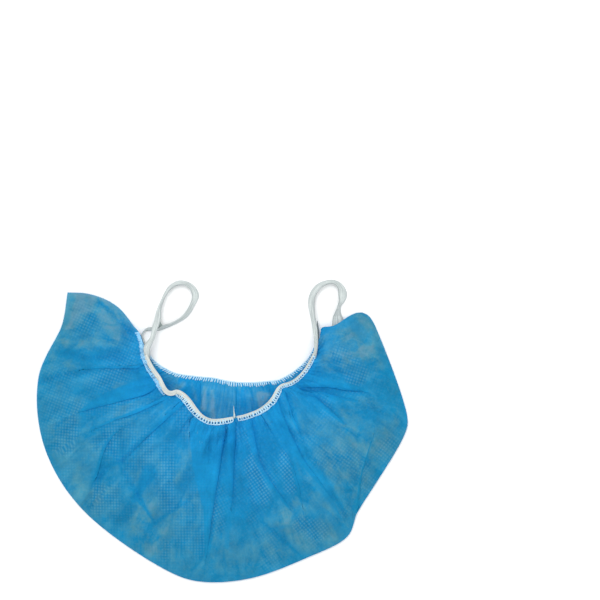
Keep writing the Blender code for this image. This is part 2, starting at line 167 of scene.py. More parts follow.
BACK_PLEATS = pleat_tables((
    (1, (0, 18, 2), (20, 19, 3), (50, 20, 1.2), (80, 20, 0)),
    (1, (0, 34.4, 9), (5, 36.1, 10), (13, 39, 10), (20, 41.2, 10), (50, 43, 4), (80, 43.6, 0)),
    (1, (0, 52.6, 0.4), (15, 52.1, 0.7), (40, 51.2, 0.6), (48, 50.8, 0.2), (70, 50.6, 0)),
    (-1, (0, 67.6, 2), (12, 65.2, 3), (40, 66, 3), (70, 68, 1), (85, 69, 0)),
    (-1, (0, 84, 2), (25, 83, 3), (60, 82, 1.6), (90, 81.5, 0)),
))

# Lines and spots on the cloth, in millimetres from the pouch's middle
# Bands where more plies lie below: from x, y, to x, y, half widths at both ends, strength
DENSE_BANDS = (
    (-48.5, -20.9, -59.4, -41.3, 4.76, 0.68, 0.9), (5.9, -16.8, 3.9, -73.2, 2.72, 2.04, 0.6),
    (21.6, -29, 25.6, -48.1, 2.04, 2.04, 0.6), (52.8, -12.7, 71.9, -33.1, 3.4, 4.76, 0.8),
    (65.1, -27.7, 80, -53.5, 4.08, 1.36, 0.7), (52.2, -46.7, 46, -59, 2.04, 1.36, 0.6),
    (46, -59, 29.7, -63, 1.36, 0.68, 0.6), (101.8, 33.5, 115.4, 22, 5.44, 5.44, 0.5),
    (-110.4, 73, -121.2, 52.6, 3.4, 3.4, 0.5), (-55.3, 52.6, -48.5, 36.2, 3.4, 5.44, 0.8),
    (-36.9, 24, -24.7, 25.4, 2.72, 2.72, 0.8), (12.7, 8.4, 16.1, -12, 2.04, 2.04, 0.5),
    (27, 15.8, 39.2, 19.9, 4.08, 4.08, 0.8), (52.8, 33.5, 65.1, 58, 3.4, 4.08, 0.7),
    (66.4, 71.6, 86.8, 78.4, 2.72, 3.4, 0.8), (88.2, 78.4, 99.1, 66.2, 4.08, 4.08, 0.7),
    (101.8, 71.6, 119.5, 33.5, 2.72, 3.4, 0.6), (122.2, 28.8, 123.6, 8.4, 4.08, 3.4, 0.7),
    (-102.2, 94.7, -106.3, 78.4, 2.72, 2.72, 0.6),
)
# Where the single ply looks thinner or denser: x, y, radius, amount; strong negative amounts go
# below zero, which is painted shade
THIN_SPOTS = (
    (-100.8, 94, 16.3, 1.65), (-80.4, 98.1, 12.2, 1.9), (-124, 73, 17.7, 1.25),
    (-64.8, 81.8, 9.5, 1.5), (92.3, 73, 16.3, 1.35), (123.6, 69.6, 9.5, 0.6),
    (66.4, 78.4, 8.2, 0.7), (141.2, 41.7, 9.5, 0.3), (-102.2, 59.4, 10.9, 0.2),
    (122.2, 51.2, 12.2, 0.35), (133.1, 36.2, 9.5, 0.35), (-126.7, 36.2, 9.5, 0.35),
    (122.2, -14.1, 17.7, 0.6), (131.7, 18.6, 12.2, 0.2), (-99.5, -46.7, 13.6, 0.9),
    (-106.3, -1.8, 12.2, 0.22), (-52.6, -42.6, 20.4, -0.16), (-36.9, -41.3, 10.9, 0.15),
    (-76.4, 15.2, 27.2, -0.16), (-40.3, -1.8, 17.7, -0.18), (-49.2, -78, 16.3, 0.35),
    (-22, -42.6, 13.6, 0.15), (16.1, -7.3, 16.3, -1.15), (13.4, -39.2, 20.4, -0.6),
    (40.6, -1.8, 10.9, -0.45), (22.9, -64.4, 15, -0.15), (63.7, 24, 13.6, -0.4),
    (52.8, 39, 10.9, -0.4), (107.2, 11.8, 24.5, -0.24), (52.8, -18.8, 20.4, -0.16),
    (73.2, -46, 15, -0.1), (42, -69.8, 20.4, 0.2), (83.4, -69.8, 13.6, 0.15),
)
# Where the bonded lattice shows most, as the bands above
WEAVE_BANDS = (
    (20.9, -15.4, 26.3, -38.6, 3.4, 4.08, 1.3), (42, -11.4, 46, -33.1, 2.04, 2.04, 1.2),
    (20.2, -54.9, 24.3, -64.4, 2.04, 2.72, 0.6), (52.8, -57.6, 65.1, -63, 4.08, 5.44, 0.8),
    (-5.6, -48.1, 1.2, -71.2, 2.72, 5.44, 0.65), (-94, 18.6, -106.3, -5.9, 4.76, 6.12, 0.85),
    (-83.2, -35.8, -85.9, -48.8, 2.72, 2.72, 1), (-72.3, -35.8, -72.3, -44.7, 2.72, 2.72, 0.7),
    (-61.4, -46.7, -61.4, -51.5, 2.04, 2.04, 0.6), (-74.3, 2.2, -75, -12.7, 2.72, 3.4, 0.95),
    (-49.2, 2.2, -49.8, -16.8, 2.72, 2.72, 0.75), (-36.9, -5.9, -36.9, -44, 4.08, 4.08, 0.85),
    (-51.9, -65.8, -39.6, -76.6, 5.44, 5.44, 0.6), (-83.2, 40.3, -65.5, 43, 4.08, 4.08, 0.65),
    (-99.5, 89.3, -94, 81.1, 4.08, 5.44, 0.65), (80, 56.6, 90.9, 43, 4.76, 6.12, 0.85),
    (112.7, -7.3, 100.4, -25, 6.12, 5.44, 0.75), (84.1, -1.8, 88.2, -22.2, 4.08, 5.44, 0.45),
    (74.6, -22.2, 83.4, -49.4, 3.4, 2.72, 0.6), (-22, -59, -23.3, -80.7, 9.52, 6.8, -0.35),
    (67.8, 24, 83.4, 11.8, 3.4, 4.08, 0.5),
)
# Painted highlights on smooth facets, as the bands above
PAINTED_HIGHLIGHT_BANDS = (
    (35.2, 21.3, 50.1, -7.3, 3.4, 2.72, 0.9), (50.1, -7.3, 65.1, -30.4, 2.72, 4.76, 0.7),
    (44.7, 28.1, 48.1, 10.4, 0.68, 0.68, 0.9), (-11.1, 7.7, -11.1, -22.2, 8.16, 5.44, 0.55),
    (-11.1, -22.2, -11.8, -63, 4.76, 1.36, 0.55), (-49.2, 31.5, -84.5, 19.9, 2.72, 1.36, 0.6),
    (-34.2, 24, -49.2, 6.3, 2.04, 2.04, 0.5), (23.6, -1.8, 42, -39.9, 0.68, 0.68, 0.6),
    (67.8, -27.7, 78.7, -48.1, 1.36, 1.36, 0.5), (-57.3, -6.6, -64.8, -14.8, 0.68, 0.68, 0.7),
)
# Thin streaks of the back layer inside the mouth, as the bands above
INNER_THIN = (
    (-11.9, 33.5, -12.9, 19.9, 0.82, 2.04, 1.1), (-9.7, 29.4, -9.3, 17.2, 0, 0.14, 0.5),
    (-7, 31.5, -6.4, 13.1, 0.54, 1.63, 1.1), (25, 29.4, 26, 21.3, 1.7, 0.82, 1),
    (25.6, 29.4, 32.4, 29.4, 1.36, 1.02, 0.9), (29.7, 26.7, 26.3, 22, 1.36, 0.68, 0.8),
    (-32.2, 32.2, -26.7, 36.2, 1.36, 2.04, 0.5), (12, 34.9, 11.4, 28.1, 0.68, 0.68, 0.5),
    (-20.6, 36.2, -17.9, 25.4, 0.68, 1.36, 0.4),
)
# Soft folds, each a crease with a line of painted shade along it: places, half width, strength
SOFT_FOLDS = (
    (((-85.2, 95.4), (-75, 85.9), (-63.1, 71.6)), 1.4, 0.55),
    (((-113.1, 58.7), (-88.6, 54.6), (-66.5, 53.9)), 2, 0.5),
    (((-79.8, 3.6), (-69.6, -16.1), (-58.7, -34.5), (-45.1, -57.6)), 1.1, 0.45),
    (((-45.1, -57.6), (-34.2, -48.8), (-20.6, -40.6)), 1, 0.4),
    (((-53.2, -19.5), (-43.7, -23.6), (-60, -41.3)), 1, 0.5),
    (((-78.4, -16.1), (-85.2, -38.6), (-90, -48.8)), 1.1, 0.4),
    (((-110.4, -4.6), (-119.9, -8)), 1.2, 0.4),
    (((-123.3, 37.6), (-109, 43), (-90, 45.1)), 1.6, 0.5),
    (((-105.6, 12.4), (-113.1, 6.3)), 1.1, 0.4), (((87.5, 5.6), (92.3, -2.5)), 1.1, 0.35),
    (((105.9, 41), (118.1, 45.8)), 1.4, 0.4),
    (((55.6, -83.4), (27, -56.2), (18.8, -34.5)), 1.1, 0.35),
    (((73.2, -34.5), (82.8, -50.8)), 1.4, 0.55), (((48.1, -48.8), (54.2, -57.6)), 1.1, 0.45),
    (((65.1, 73), (78.7, 79.8), (88.2, 82.5)), 1.6, 0.45),
    (((-12.4, -63.7), (-13.8, -80.7)), 0.8, 0.45), (((-57.8, -3.9), (-66.5, -14.8)), 1.3, 0.6),
    (((-67.3, -14.3), (-76, -18.6), (-85.5, -29.7)), 0.9, 0.5),
    (((-66.8, -15.1), (-57.8, -20.3)), 0.9, 0.45), (((-66.5, -1.8), (-66.8, -14.1)), 0.8, 0.45),
)
# Sharp creases: from x, y, to x, y, height, width
CREASES = (
    (-58.7, -41.3, -45.1, -57.6, 1.2, 14), (-45.1, -57.6, -20.6, -41.3, 1.1, 14),
    (-68.2, -15.4, -92.7, -39.9, -1, 12), (-78.4, -7, -64, -21, 1, 10),
    (-53.3, -19.5, -60, -41.3, 1.2, 10), (-43.7, -23.6, -60, -41.3, -0.9, 8),
    (-101.5, 72.5, -56, 60, 1, 16), (-110, 62, -62, 56, -0.8, 14), (61, -50, 20, -66, 0.9, 12),
    (76, 12, 98, 4, 1, 12), (65, -2, 85, -20, 1, 14), (110, 18, 113, -6, 1, 12),
    (76, 64, 95, 42, 0.9, 16), (90, 70, 100, 30, -0.8, 14),
)
# Height and width of the crease along each soft fold
FOLD_HEIGHT = -1.0
FOLD_WIDTH = 6.0

# Colours of the cloth: painted shade below an edge and along folds (also the lattice's gaps),
# several plies, one ply, its barest places
SHADE_AND_GAP_COLOUR = (0.003, 0.205, 0.500, 1.0)
DENSE_COLOUR = (0.008, 0.275, 0.580, 1.0)
SHEER_COLOUR = (0.074, 0.350, 0.535, 1.0)
BARE_COLOUR = (0.155, 0.395, 0.540, 1.0)
# Colours of bonded dots, loose fibres, light through the cloth and painted shade towards the fold
DOT_COLOUR = (0.150, 0.480, 0.680, 1.0)
FLECK_COLOUR = (0.090, 0.420, 0.640, 1.0)
THROUGH_COLOUR = (0.02, 0.40, 0.85, 1.0)
HEM_SHADE_TINT = (0.93, 0.87, 0.76, 1.0)
# Bonded dots: pitch and how far they stray from it
DOT_PITCH = 0.002
DOT_WOBBLE = 0.0005

# Elastics: sizes, ribs and stitches to a metre, then dark and light of each
BAND_THICKNESS = 0.0010
BACK_BAND_WIDTH = 0.0022
BACK_BAND_INSET = 0.0022
LOOP_THICKNESS = 0.0011
RIBS = 1250.0
STITCHES = 1150.0
BAND_COLOURS = ((0.46, 0.49, 0.47, 1.0), (0.69, 0.71, 0.67, 1.0))
LOOP_COLOURS = ((0.38, 0.42, 0.42, 1.0), (0.72, 0.77, 0.75, 1.0))
# painted shade: colours of the dark sheet in the left loop's crossing
CROSSING_SHADE_COLOURS = ((0.24, 0.30, 0.29, 1.0), (0.40, 0.46, 0.44, 1.0))
# painted shade: colours of the dark thread beside the right loop's strand
SLIT_SHADE_COLOURS = ((0.08, 0.11, 0.13, 1.0), (0.18, 0.22, 0.24, 1.0))
WHITE_COLOURS = ((0.30, 0.55, 0.76, 1.0), (0.56, 0.78, 0.89, 1.0))
PALE_COLOURS = ((0.16, 0.46, 0.75, 1.0), (0.36, 0.67, 0.89, 1.0))
CREAM_COLOURS = ((0.36, 0.48, 0.48, 1.0), (0.52, 0.60, 0.58, 1.0))
# Gaps above the cloth and the floor, and how far a loop's end sinks below the rim
BAND_GAP = 0.0003
FLOOR_GAP = 0.0001
LOOP_SINK = 0.0012
# A loop's turn counts this much, in metres to a radian, in the spacing of its curve
TWIST_SCALE = 0.002
# Stitches: uneven lean, as a share of the rim, and least reach beyond the band
STITCH_LEAN = 0.0008
LEAST_REACH = 0.0006
# Front elastic: along, width, reach of the stitches beyond it, rise over the cloth
FRONT_BAND = (
    (0.045, 0.0028, 0.0016, 1), (0.1, 0.0031, 0.0017, 1), (0.16, 0.0033, 0.0016, 1),
    (0.2, 0.0034, 0.0013, 1), (0.214, 0.0034, 0.001, 1), (0.22, 0.0034, 0.0002, 1),
    (0.238, 0.0033, 0.0002, 1), (0.246, 0.0031, 0.0013, 1), (0.3, 0.0032, 0.0015, 1),
    (0.35, 0.0032, 0.0017, 1), (0.38, 0.0028, 0.0017, 1), (0.41, 0.0022, 0.0016, 1),
    (0.5, 0.0021, 0.0016, 1), (0.521, 0.0019, 0.0015, 1), (0.528, 0.0012, 0.0002, -0.6),
    (0.537, 0.0012, 0.0002, -0.6), (0.544, 0.0018, 0.0015, 1), (0.65, 0.0019, 0.0016, 1),
    (0.69, 0.0023, 0.0018, 1), (0.74, 0.0023, 0.0015, 1), (0.755, 0.0017, 0.001, 1),
    (0.97, 0.0015, 0.001, 1),
)
# Ear loops: across and along as shares of the pouch, height, turn in degrees, width
LEFT_LOOP = (
    (-0.2008, 0.2703, 0.004, 4, 0.0034), (-0.2021, 0.291, 0.0066, 6, 0.0044),
    (-0.2016, 0.31, 0.0072, 8, 0.0048), (-0.195, 0.3272, 0.007, 12, 0.0041),
    (-0.1878, 0.3428, 0.0062, 20, 0.0035), (-0.1848, 0.3583, 0.0053, 26, 0.0038),
    (-0.1814, 0.3756, 0.0046, 24, 0.0044), (-0.1764, 0.3945, 0.004, 20, 0.0045),
    (-0.173, 0.4135, 0.0034, 24, 0.0045), (-0.1713, 0.4325, 0.0029, 38, 0.0043),
    (-0.1676, 0.4515, 0.0026, 55, 0.004), (-0.1616, 0.4712, 0.0024, 64, 0.0036),
    (-0.1541, 0.4919, 0.0022, 62, 0.0036), (-0.1438, 0.5122, 0.0021, 54, 0.0041),
    (-0.1293, 0.5271, 0.0021, 50, 0.0042), (-0.1141, 0.533, 0.002, 50, 0.0044),
    (-0.0996, 0.5312, 0.0019, 50, 0.0043), (-0.0855, 0.5216, 0.0017, 40, 0.0045),
    (-0.0764, 0.5067, 0.0014, 20, 0.0046), (-0.072, 0.4895, 0.0012, 10, 0.0046),
    (-0.0753, 0.4722, 0.0014, 30, 0.0043), (-0.0823, 0.4532, 0.0018, 44, 0.0042),
    (-0.0904, 0.4342, 0.0018, 40, 0.004), (-0.1028, 0.4159, 0.0016, 46, 0.0037),
    (-0.1206, 0.4008, 0.0016, 58, 0.0034), (-0.14, 0.389, 0.0016, 58, 0.0036),
    (-0.1568, 0.3811, 0.0015, 52, 0.0039), (-0.1719, 0.3731, 0.0015, 60, 0.0036),
    (-0.1885, 0.374, 0.0014, 50, 0.0032), (-0.2005, 0.3731, 0.0014, 50, 0.003),
    (-0.2102, 0.3662, 0.0015, 76, 0.002), (-0.2156, 0.3531, 0.0016, 78, 0.002),
    (-0.214, 0.3376, 0.0015, 70, 0.0023), (-0.2075, 0.3165, 0.0013, 30, 0.003),
    (-0.2021, 0.3, 0.0011, 6, 0.0034),
)
RIGHT_LOOP = (
    (0.2482, 0.27, 0.0046, 24, 0.0022), (0.2507, 0.2944, 0.0074, 44, 0.003),
    (0.2528, 0.3151, 0.0072, 50, 0.0036), (0.2528, 0.3359, 0.0064, 50, 0.004),
    (0.2512, 0.36, 0.0054, 48, 0.0042), (0.2485, 0.3859, 0.0044, 48, 0.0044),
    (0.2447, 0.4135, 0.0034, 50, 0.0048), (0.2415, 0.4429, 0.0026, 38, 0.0049),
    (0.2404, 0.4636, 0.0021, 30, 0.0049), (0.2426, 0.486, 0.0018, 28, 0.0049),
    (0.2507, 0.5071, 0.0018, 32, 0.0049), (0.2636, 0.5236, 0.0018, 40, 0.0047),
    (0.2798, 0.5333, 0.0018, 54, 0.0044), (0.296, 0.5364, 0.0019, 58, 0.0044),
    (0.3106, 0.5298, 0.0016, 48, 0.0046), (0.3203, 0.5154, 0.0013, 26, 0.005),
    (0.3246, 0.4939, 0.0011, 6, 0.0058), (0.3225, 0.4739, 0.0014, 30, 0.005),
    (0.3165, 0.4574, 0.0019, 58, 0.0042), (0.3136, 0.4442, 0.0019, 56, 0.0044),
    (0.3117, 0.4304, 0.0015, 32, 0.0048), (0.3111, 0.4159, 0.0012, 8, 0.0064),
    (0.3122, 0.4014, 0.0011, 0, 0.0076), (0.3106, 0.3821, 0.001, 0, 0.0074),
    (0.3025, 0.36, 0.001, 0, 0.0064), (0.289, 0.3359, 0.001, 0, 0.0052),
    (0.2733, 0.3131, 0.001, 0, 0.0042), (0.2599, 0.2931, 0.001, 0, 0.0036),
    (0.2491, 0.2751, 0.001, 0, 0.0034),
)


def ease(value, start, stop):
    """Smooth step from 0 at start to 1 at stop."""
    t = np.clip((np.asarray(value, float) - start) / (stop - start), 0.0, 1.0)
    return t * t * (3.0 - 2.0 * t)


def unit(vectors):
    """The vectors at length 1."""
    return vectors / np.linalg.norm(vectors, axis=-1)[..., None]


def curve_through(rows, dense=24):
    """Dense smooth curve through the rows, with knots spaced by chord roots."""
    knots = np.array(rows, float)
    chords = np.sqrt((np.diff(knots, axis=0) ** 2).sum(axis=1))
    when = np.concatenate(([0.0], np.cumsum(np.sqrt(chords))))
    steps = np.diff(knots, axis=0) / np.diff(when)[:, None]
    slopes = np.empty_like(knots)
    slopes[0] = steps[0]
    slopes[-1] = steps[-1]
    share = (np.diff(when)[1:] / (np.diff(when)[1:] + np.diff(when)[:-1]))[:, None]
    slopes[1:-1] = steps[:-1] * share + steps[1:] * (1.0 - share)
    points = []
    for i in range(len(knots) - 1):
        span = when[i + 1] - when[i]
        t = np.linspace(0.0, 1.0, dense, endpoint=False)[:, None]
        points.append(
            (2 * t**3 - 3 * t**2 + 1) * knots[i]
            + (t**3 - 2 * t**2 + t) * span * slopes[i]
            + (3 * t**2 - 2 * t**3) * knots[i + 1]
            + (t**3 - t**2) * span * slopes[i + 1]
        )
    points.append(knots[-1:])
    return np.concatenate(points)


def arc_lengths(points):
    steps = np.sqrt((np.diff(points, axis=0) ** 2).sum(axis=1))
    return np.concatenate(([0.0], np.cumsum(steps)))


def read_rows(at, run, rows):
    """Rows of values read at places along the run."""
    return np.stack([np.interp(at, run, rows[:, k]) for k in range(rows.shape[1])], axis=-1)


def at_share(points, share):
    run = arc_lengths(points)
    return read_rows(np.asarray(share, float) * run[-1], run, points)


def plan_curve(rows):
    dense = curve_through(rows)
    return (dense - OUTLINE_MIDDLE) / OUTLINE_SPAN * np.array((POUCH_WIDTH, POUCH_DEPTH))


OUTLINE_DENSE = curve_through(OUTLINE)
OUTLINE_MIDDLE = 0.5 * (OUTLINE_DENSE.min(axis=0) + OUTLINE_DENSE.max(axis=0))
OUTLINE_SPAN = OUTLINE_DENSE.max(axis=0) - OUTLINE_DENSE.min(axis=0)
HEM_CURVE = plan_curve(OUTLINE)
FRONT_CURVE = plan_curve((LEFT_CORNER,) + FRONT_RIM + (RIGHT_CORNER,))
BACK_CURVE = plan_curve((LEFT_CORNER,) + BACK_RIM + (RIGHT_CORNER,))
LEFT_CURVE = plan_curve((LEFT_CORNER,) + LEFT_END + (OUTLINE[0],))
RIGHT_CURVE = plan_curve((RIGHT_CORNER,) + RIGHT_END + (OUTLINE[-1],))


def plan_at(rim_curve, along, down):
    """Plan position; along runs left to right and down from the rim to the hem."""
    rim = at_share(rim_curve, along)
    hem = at_share(HEM_CURVE, along)
    a = np.asarray(along, float)[..., None]
    d = np.asarray(down, float)[..., None]
    straight = (1.0 - d) * rim + d * hem
    left = at_share(LEFT_CURVE, down) - ((1.0 - d) * rim_curve[0] + d * HEM_CURVE[0])
    right = at_share(RIGHT_CURVE, down) - ((1.0 - d) * rim_curve[-1] + d * HEM_CURVE[-1])
    return straight + (1.0 - a) ** 3 * left + a**3 * right


def section_value(column, along):
    dense = curve_through([(row[0], row[column]) for row in SECTIONS])
    return np.interp(along, dense[:, 0], dense[:, 1])


def lift_at(along, down):
    """Lift of both layers over the back elastic and over the ear loops' ends."""
    rim = BAND_LIFT * (1.0 - ease(down, 0.07, 0.17))
    left = LOOP_LIFT * (1.0 - ease(along, 0.075, 0.140)) * (1.0 - ease(down, 0.16, 0.32))
    right = LOOP_LIFT * (1.0 - ease(1.0 - along, 0.075, 0.140)) * (1.0 - ease(down, 0.62, 0.80))
    return np.maximum(rim, np.maximum(left, right))


def rounded(inwards, width):
    """Share 0 to 1 that climbs as a quarter circle over the width."""
    return np.sqrt(np.clip(1.0 - (1.0 - np.clip(inwards / width, 0, 1)) ** 2, 0, 1))


def base_height(layer, along, down):
    """Smooth height of a layer before its pleats and wrinkles."""
    side = np.minimum(along, 1.0 - along)
    edge = rounded(1.0 - down, HEM_ROUND) * rounded(side, END_ROUND)
    middle = EDGE_HALF + lift_at(along, down)
    if layer == "back":
        middle = middle - BACK_RIM_DROP * (1.0 - ease(down, 0.0, 0.012)) * ease(side, 0.08, 0.16)
        return middle - EDGE_HALF * edge * 0.8
    rim, belly, crest = [section_value(column, along) for column in (1, 2, 3)]
    climb = ease(down / crest, 0.06, 1.0)
    fall = np.clip((down - crest) / (1.0 - crest), 0.0, 1.0)
    shape = np.where(down < crest, rim + (belly - rim) * climb, belly * (1.0 - fall**2) ** 1.15)
    return middle + EDGE_HALF * edge + np.maximum(BELLY_RISE * shape, 0.0)


def smooth_table(rows, column, at):
    """A table's column read along its first column, with rounded corners."""
    fine = np.linspace(0.0, 1.0, 241)
    value = np.interp(fine, [row[0] for row in rows], [row[column] for row in rows])
    window = np.hanning(17)
    value = np.convolve(np.pad(value, 8, mode="edge"), window / window.sum(), mode="valid")
    return np.interp(at, fine, value)


def pleat_width(table, down):
    """Overlap of a knife pleat, closed where it is next to nothing."""
    overlap = np.maximum(smooth_table(table, 2, down), 0.0)
    return overlap * ease(overlap, 0.0008, 0.0035)


def pleat_lines(pleats, down):
    """Side, edge and overlap of each pleat on the way down."""
    edges = [smooth_table(table, 1, down) for _, table in pleats]
    return [(side, edge, pleat_width(table, down)) for edge, (side, table) in zip(edges, pleats)]


def opened(overlap):
    """Share 1 where a pleat's plies part, 0 where its overlap closes."""
    return ease(overlap, 0.0015, 0.014)


def crowded(u, at_start, at_stop):
    """Even steps from 0 to 1 that crowd towards the marked ends."""
    if at_start and at_stop:
        bent = 0.5 - 0.5 * np.cos(math.pi * u)
    elif at_stop:
        bent = np.sin(0.5 * math.pi * u)
    elif at_start:
        bent = 1.0 - np.cos(0.5 * math.pi * u)
    else:
        bent = u
    return 0.2 * u + 0.8 * bent


def pleated_layer(layer, pleats, step, rows):
    """Grid of a layer whose columns run over and back under at each knife pleat."""
    rim_curve = FRONT_CURVE if layer == "front" else BACK_CURVE
    down = np.linspace(0.0, 1.0, rows + 1) ** 1.12
    sections = []
    start = 0.0 * down
    before = None
    for side, edge, overlap in pleat_lines(pleats, down):
        high = edge if side > 0 else edge + overlap
        low = high - overlap
        sections.append(("over", start, high, before, (side, overlap)))
        sections.append(("back", high, low, (side, overlap), None))
        before = (side, overlap)
        start = low
    sections.append(("over", start, 1.0 + 0.0 * down, before, None))
    shares, plies, puffs = [], [], []
    for kind, first, last, before, after in sections:
        length = np.abs(last - first)
        need = 1.25 * length.mean() if kind == "over" else 0.8 * length.max()
        count = max(3, int(round(need * MEAN_WIDTH / step))) + 1
        u = np.linspace(0.0, 1.0, count)[:, None]
        left_open = kind == "over" and before is not None and before[0] < 0
        right_open = kind == "over" and after is not None and after[0] > 0
        t = crowded(u, left_open, right_open)
        share = first + (last - first) * t
        ply = 0.0 * share
        puff = 0.0 * share
        sides = ((left_open, before, share - first), (right_open, after, last - share))
        for is_open, beside, off in sides:
            if is_open:
                near, wide = opened(beside[1]), np.maximum(beside[1], 1e-4)
                ply = ply + 2.0 * near * (1.0 - ease(off - beside[1], 0.0, PLY_RAMP))
                puff = puff + near * (1.0 - np.clip(off / wide, 0, 1)) ** 2
        if kind == "back":
            ply = opened(before[1]) * np.ones_like(share)
            puff = opened(before[1]) * (1.0 - t if before[0] > 0 else t) ** 2
        if shares:
            plies[-1][-1] = 0.5 * (plies[-1][-1] + ply[0])
            puffs[-1][-1] = np.maximum(puffs[-1][-1], puff[0])
            share, ply, puff = share[1:], ply[1:], puff[1:]
        shares.append(share)
        plies.append(ply)
        puffs.append(puff)
    share = np.clip(np.concatenate(shares), 0.0, 1.0)
    grid_down = np.broadcast_to(down, share.shape)
    return {
        "share": share,
        "down": grid_down,
        "plan": plan_at(rim_curve, share, grid_down),
        "ply": np.concatenate(plies),
        "puff": np.concatenate(puffs),
        "section_of": np.concatenate([np.full(len(s), i) for i, s in enumerate(shares)]),
        "kinds": [s[0] for s in sections],
    }


def turned_by(angle):
    """Matrix of a turn in the plane."""
    c, s = math.cos(angle), math.sin(angle)
    return np.array(((c, -s), (s, c)))


def strip_uv(grid, pleats, rim_curve, still, turned):
    """Cloth coordinates: each panel between pleats is turned as its pleats ask."""
    kinds = grid["kinds"]
    down = grid["down"][0]
    fine = np.linspace(0, 1, 60)
    lengths = np.array([arc_lengths(plan_at(rim_curve, fine, np.full(60, d)))[-1] for d in down])
    moves = [(np.eye(2), np.zeros(2))]
    for _, edge, overlap in pleat_lines(pleats, down):
        widths = overlap * lengths
        far = int(np.argmax(widths))
        tip = len(down) - 1 if far < len(down) / 2 else 0
        edge_plan = plan_at(rim_curve, edge, down)
        arm = edge_plan[far] - edge_plan[tip]
        forward = plan_at(rim_curve, edge[far] + 0.01, down[far]) - edge_plan[far]
        angle = 2.0 * widths[far] / np.linalg.norm(arm)
        if arm[0] * forward[1] - arm[1] * forward[0] < 0:
            angle = -angle
        turn = turned_by(angle)
        shift = edge_plan[tip] - turn @ edge_plan[tip]
        a, b = moves[-1]
        moves.append((a @ turn, a @ shift + b))
    unturn = turned_by(turned) @ moves[still][0].T
    uv = np.zeros(grid["plan"].shape)
    for panel, i in enumerate([i for i, kind in enumerate(kinds) if kind == "over"]):
        mine = grid["section_of"] == i
        a, b = moves[panel]
        uv[mine] = (grid["plan"][mine] @ a.T + b) @ unturn.T
    columns = np.arange(len(uv))
    back = np.array([kinds[i] == "back" for i in grid["section_of"]])
    for r in range(uv.shape[1]):
        uv[back, r] = read_rows(columns[back], columns[~back], uv[~back, r])
    return uv


def scattered_creases(random, count, lean, height):
    """Random finite creases that mostly run from the rim to the hem."""
    rows = []
    for _ in range(count):
        share, down = random.uniform(0.03, 0.97), random.uniform(0.10, 0.92)
        middle = plan_at(FRONT_CURVE, share, down)
        further = plan_at(FRONT_CURVE, share, min(down + 0.05, 1.0)) - middle
        heading = math.atan2(further[1], further[0]) + random.normal(0, lean)
        half = random.uniform(0.006, 0.022)
        way = np.array((math.cos(heading), math.sin(heading))) * half
        size = random.uniform(0.3, 1.0) * height * random.choice((-1, 1))
        rows.append((*(middle - way), *(middle + way), size, random.uniform(0.005, 0.014)))
    return rows


def crease_fields(plan, rows):
    """Heights of the creases and, on one side of each, how the facet beside it looks."""
    heights = np.zeros(plan.shape[:-1])
    facets = np.zeros(plan.shape[:-1])
    for x0, y0, x1, y1, size, width in rows:
        start, end = np.array((x0, y0)), np.array((x1, y1))
        way = end - start
        length = np.linalg.norm(way)
        way = way / length
        off = plan - start
        run = off @ way / length
        across = off[..., 0] * way[1] - off[..., 1] * way[0]
        ends = ease(run, -0.15, 0.30) * ease(1.0 - run, -0.15, 0.30)
        heights += size * ends * np.clip(1.0 - np.abs(across) / width, 0.0, 1.0) ** 1.5
        beside = ease(across, -0.0004, 0.0004) * np.clip(1.0 - across / (1.4 * width), 0.0, 1.0)
        facets += np.sign(size) * min(1.0, abs(size) / 0.0012) * ends * beside
    return heights, facets


def line_away(x, y, row):
    """Distance from a tapered line of a table, less the line's half width."""
    x0, y0, x1, y1, half_from, half_to = row[:6]
    way = np.array((x1 - x0, y1 - y0), float)
    run = np.clip(((x - x0) * way[0] + (y - y0) * way[1]) / (way @ way), 0, 1)
    away = np.hypot(x - x0 - run * way[0], y - y0 - run * way[1])
    return away - (half_from + (half_to - half_from) * run)


def line_share(x, y, row):
    """Strength on a tapered line of a table, falling softly to 0 beside it."""
    return row[6] * ease(-line_away(x, y, row), *BAND_FADE)


def ply_places(grid, lines):
    """Share of extra plies that the knife pleats bring."""
    share = grid["share"]
    dense = np.zeros(share.shape)
    pleat = -1
    for i, kind in enumerate(grid["kinds"]):
        mine = grid["section_of"] == i
        if kind == "back":
            pleat += 1
            folded = np.clip(lines[pleat][2] / FULL_PLY, 0, 1)
            dense[mine] = np.broadcast_to(folded, dense.shape)[mine]
            continue
        for number, side in ((pleat + 1, 1), (pleat, -1)):
            if 0 <= number < len(lines) and lines[number][0] == side:
                _, edge, overlap = lines[number]
                inside = ease((share - (edge - side * overlap)) * side, -0.0015, 0.0025)
                inside = inside * np.clip(overlap / FULL_PLY, 0, 1)
                dense[mine] = np.maximum(dense, inside)[mine]
    return dense


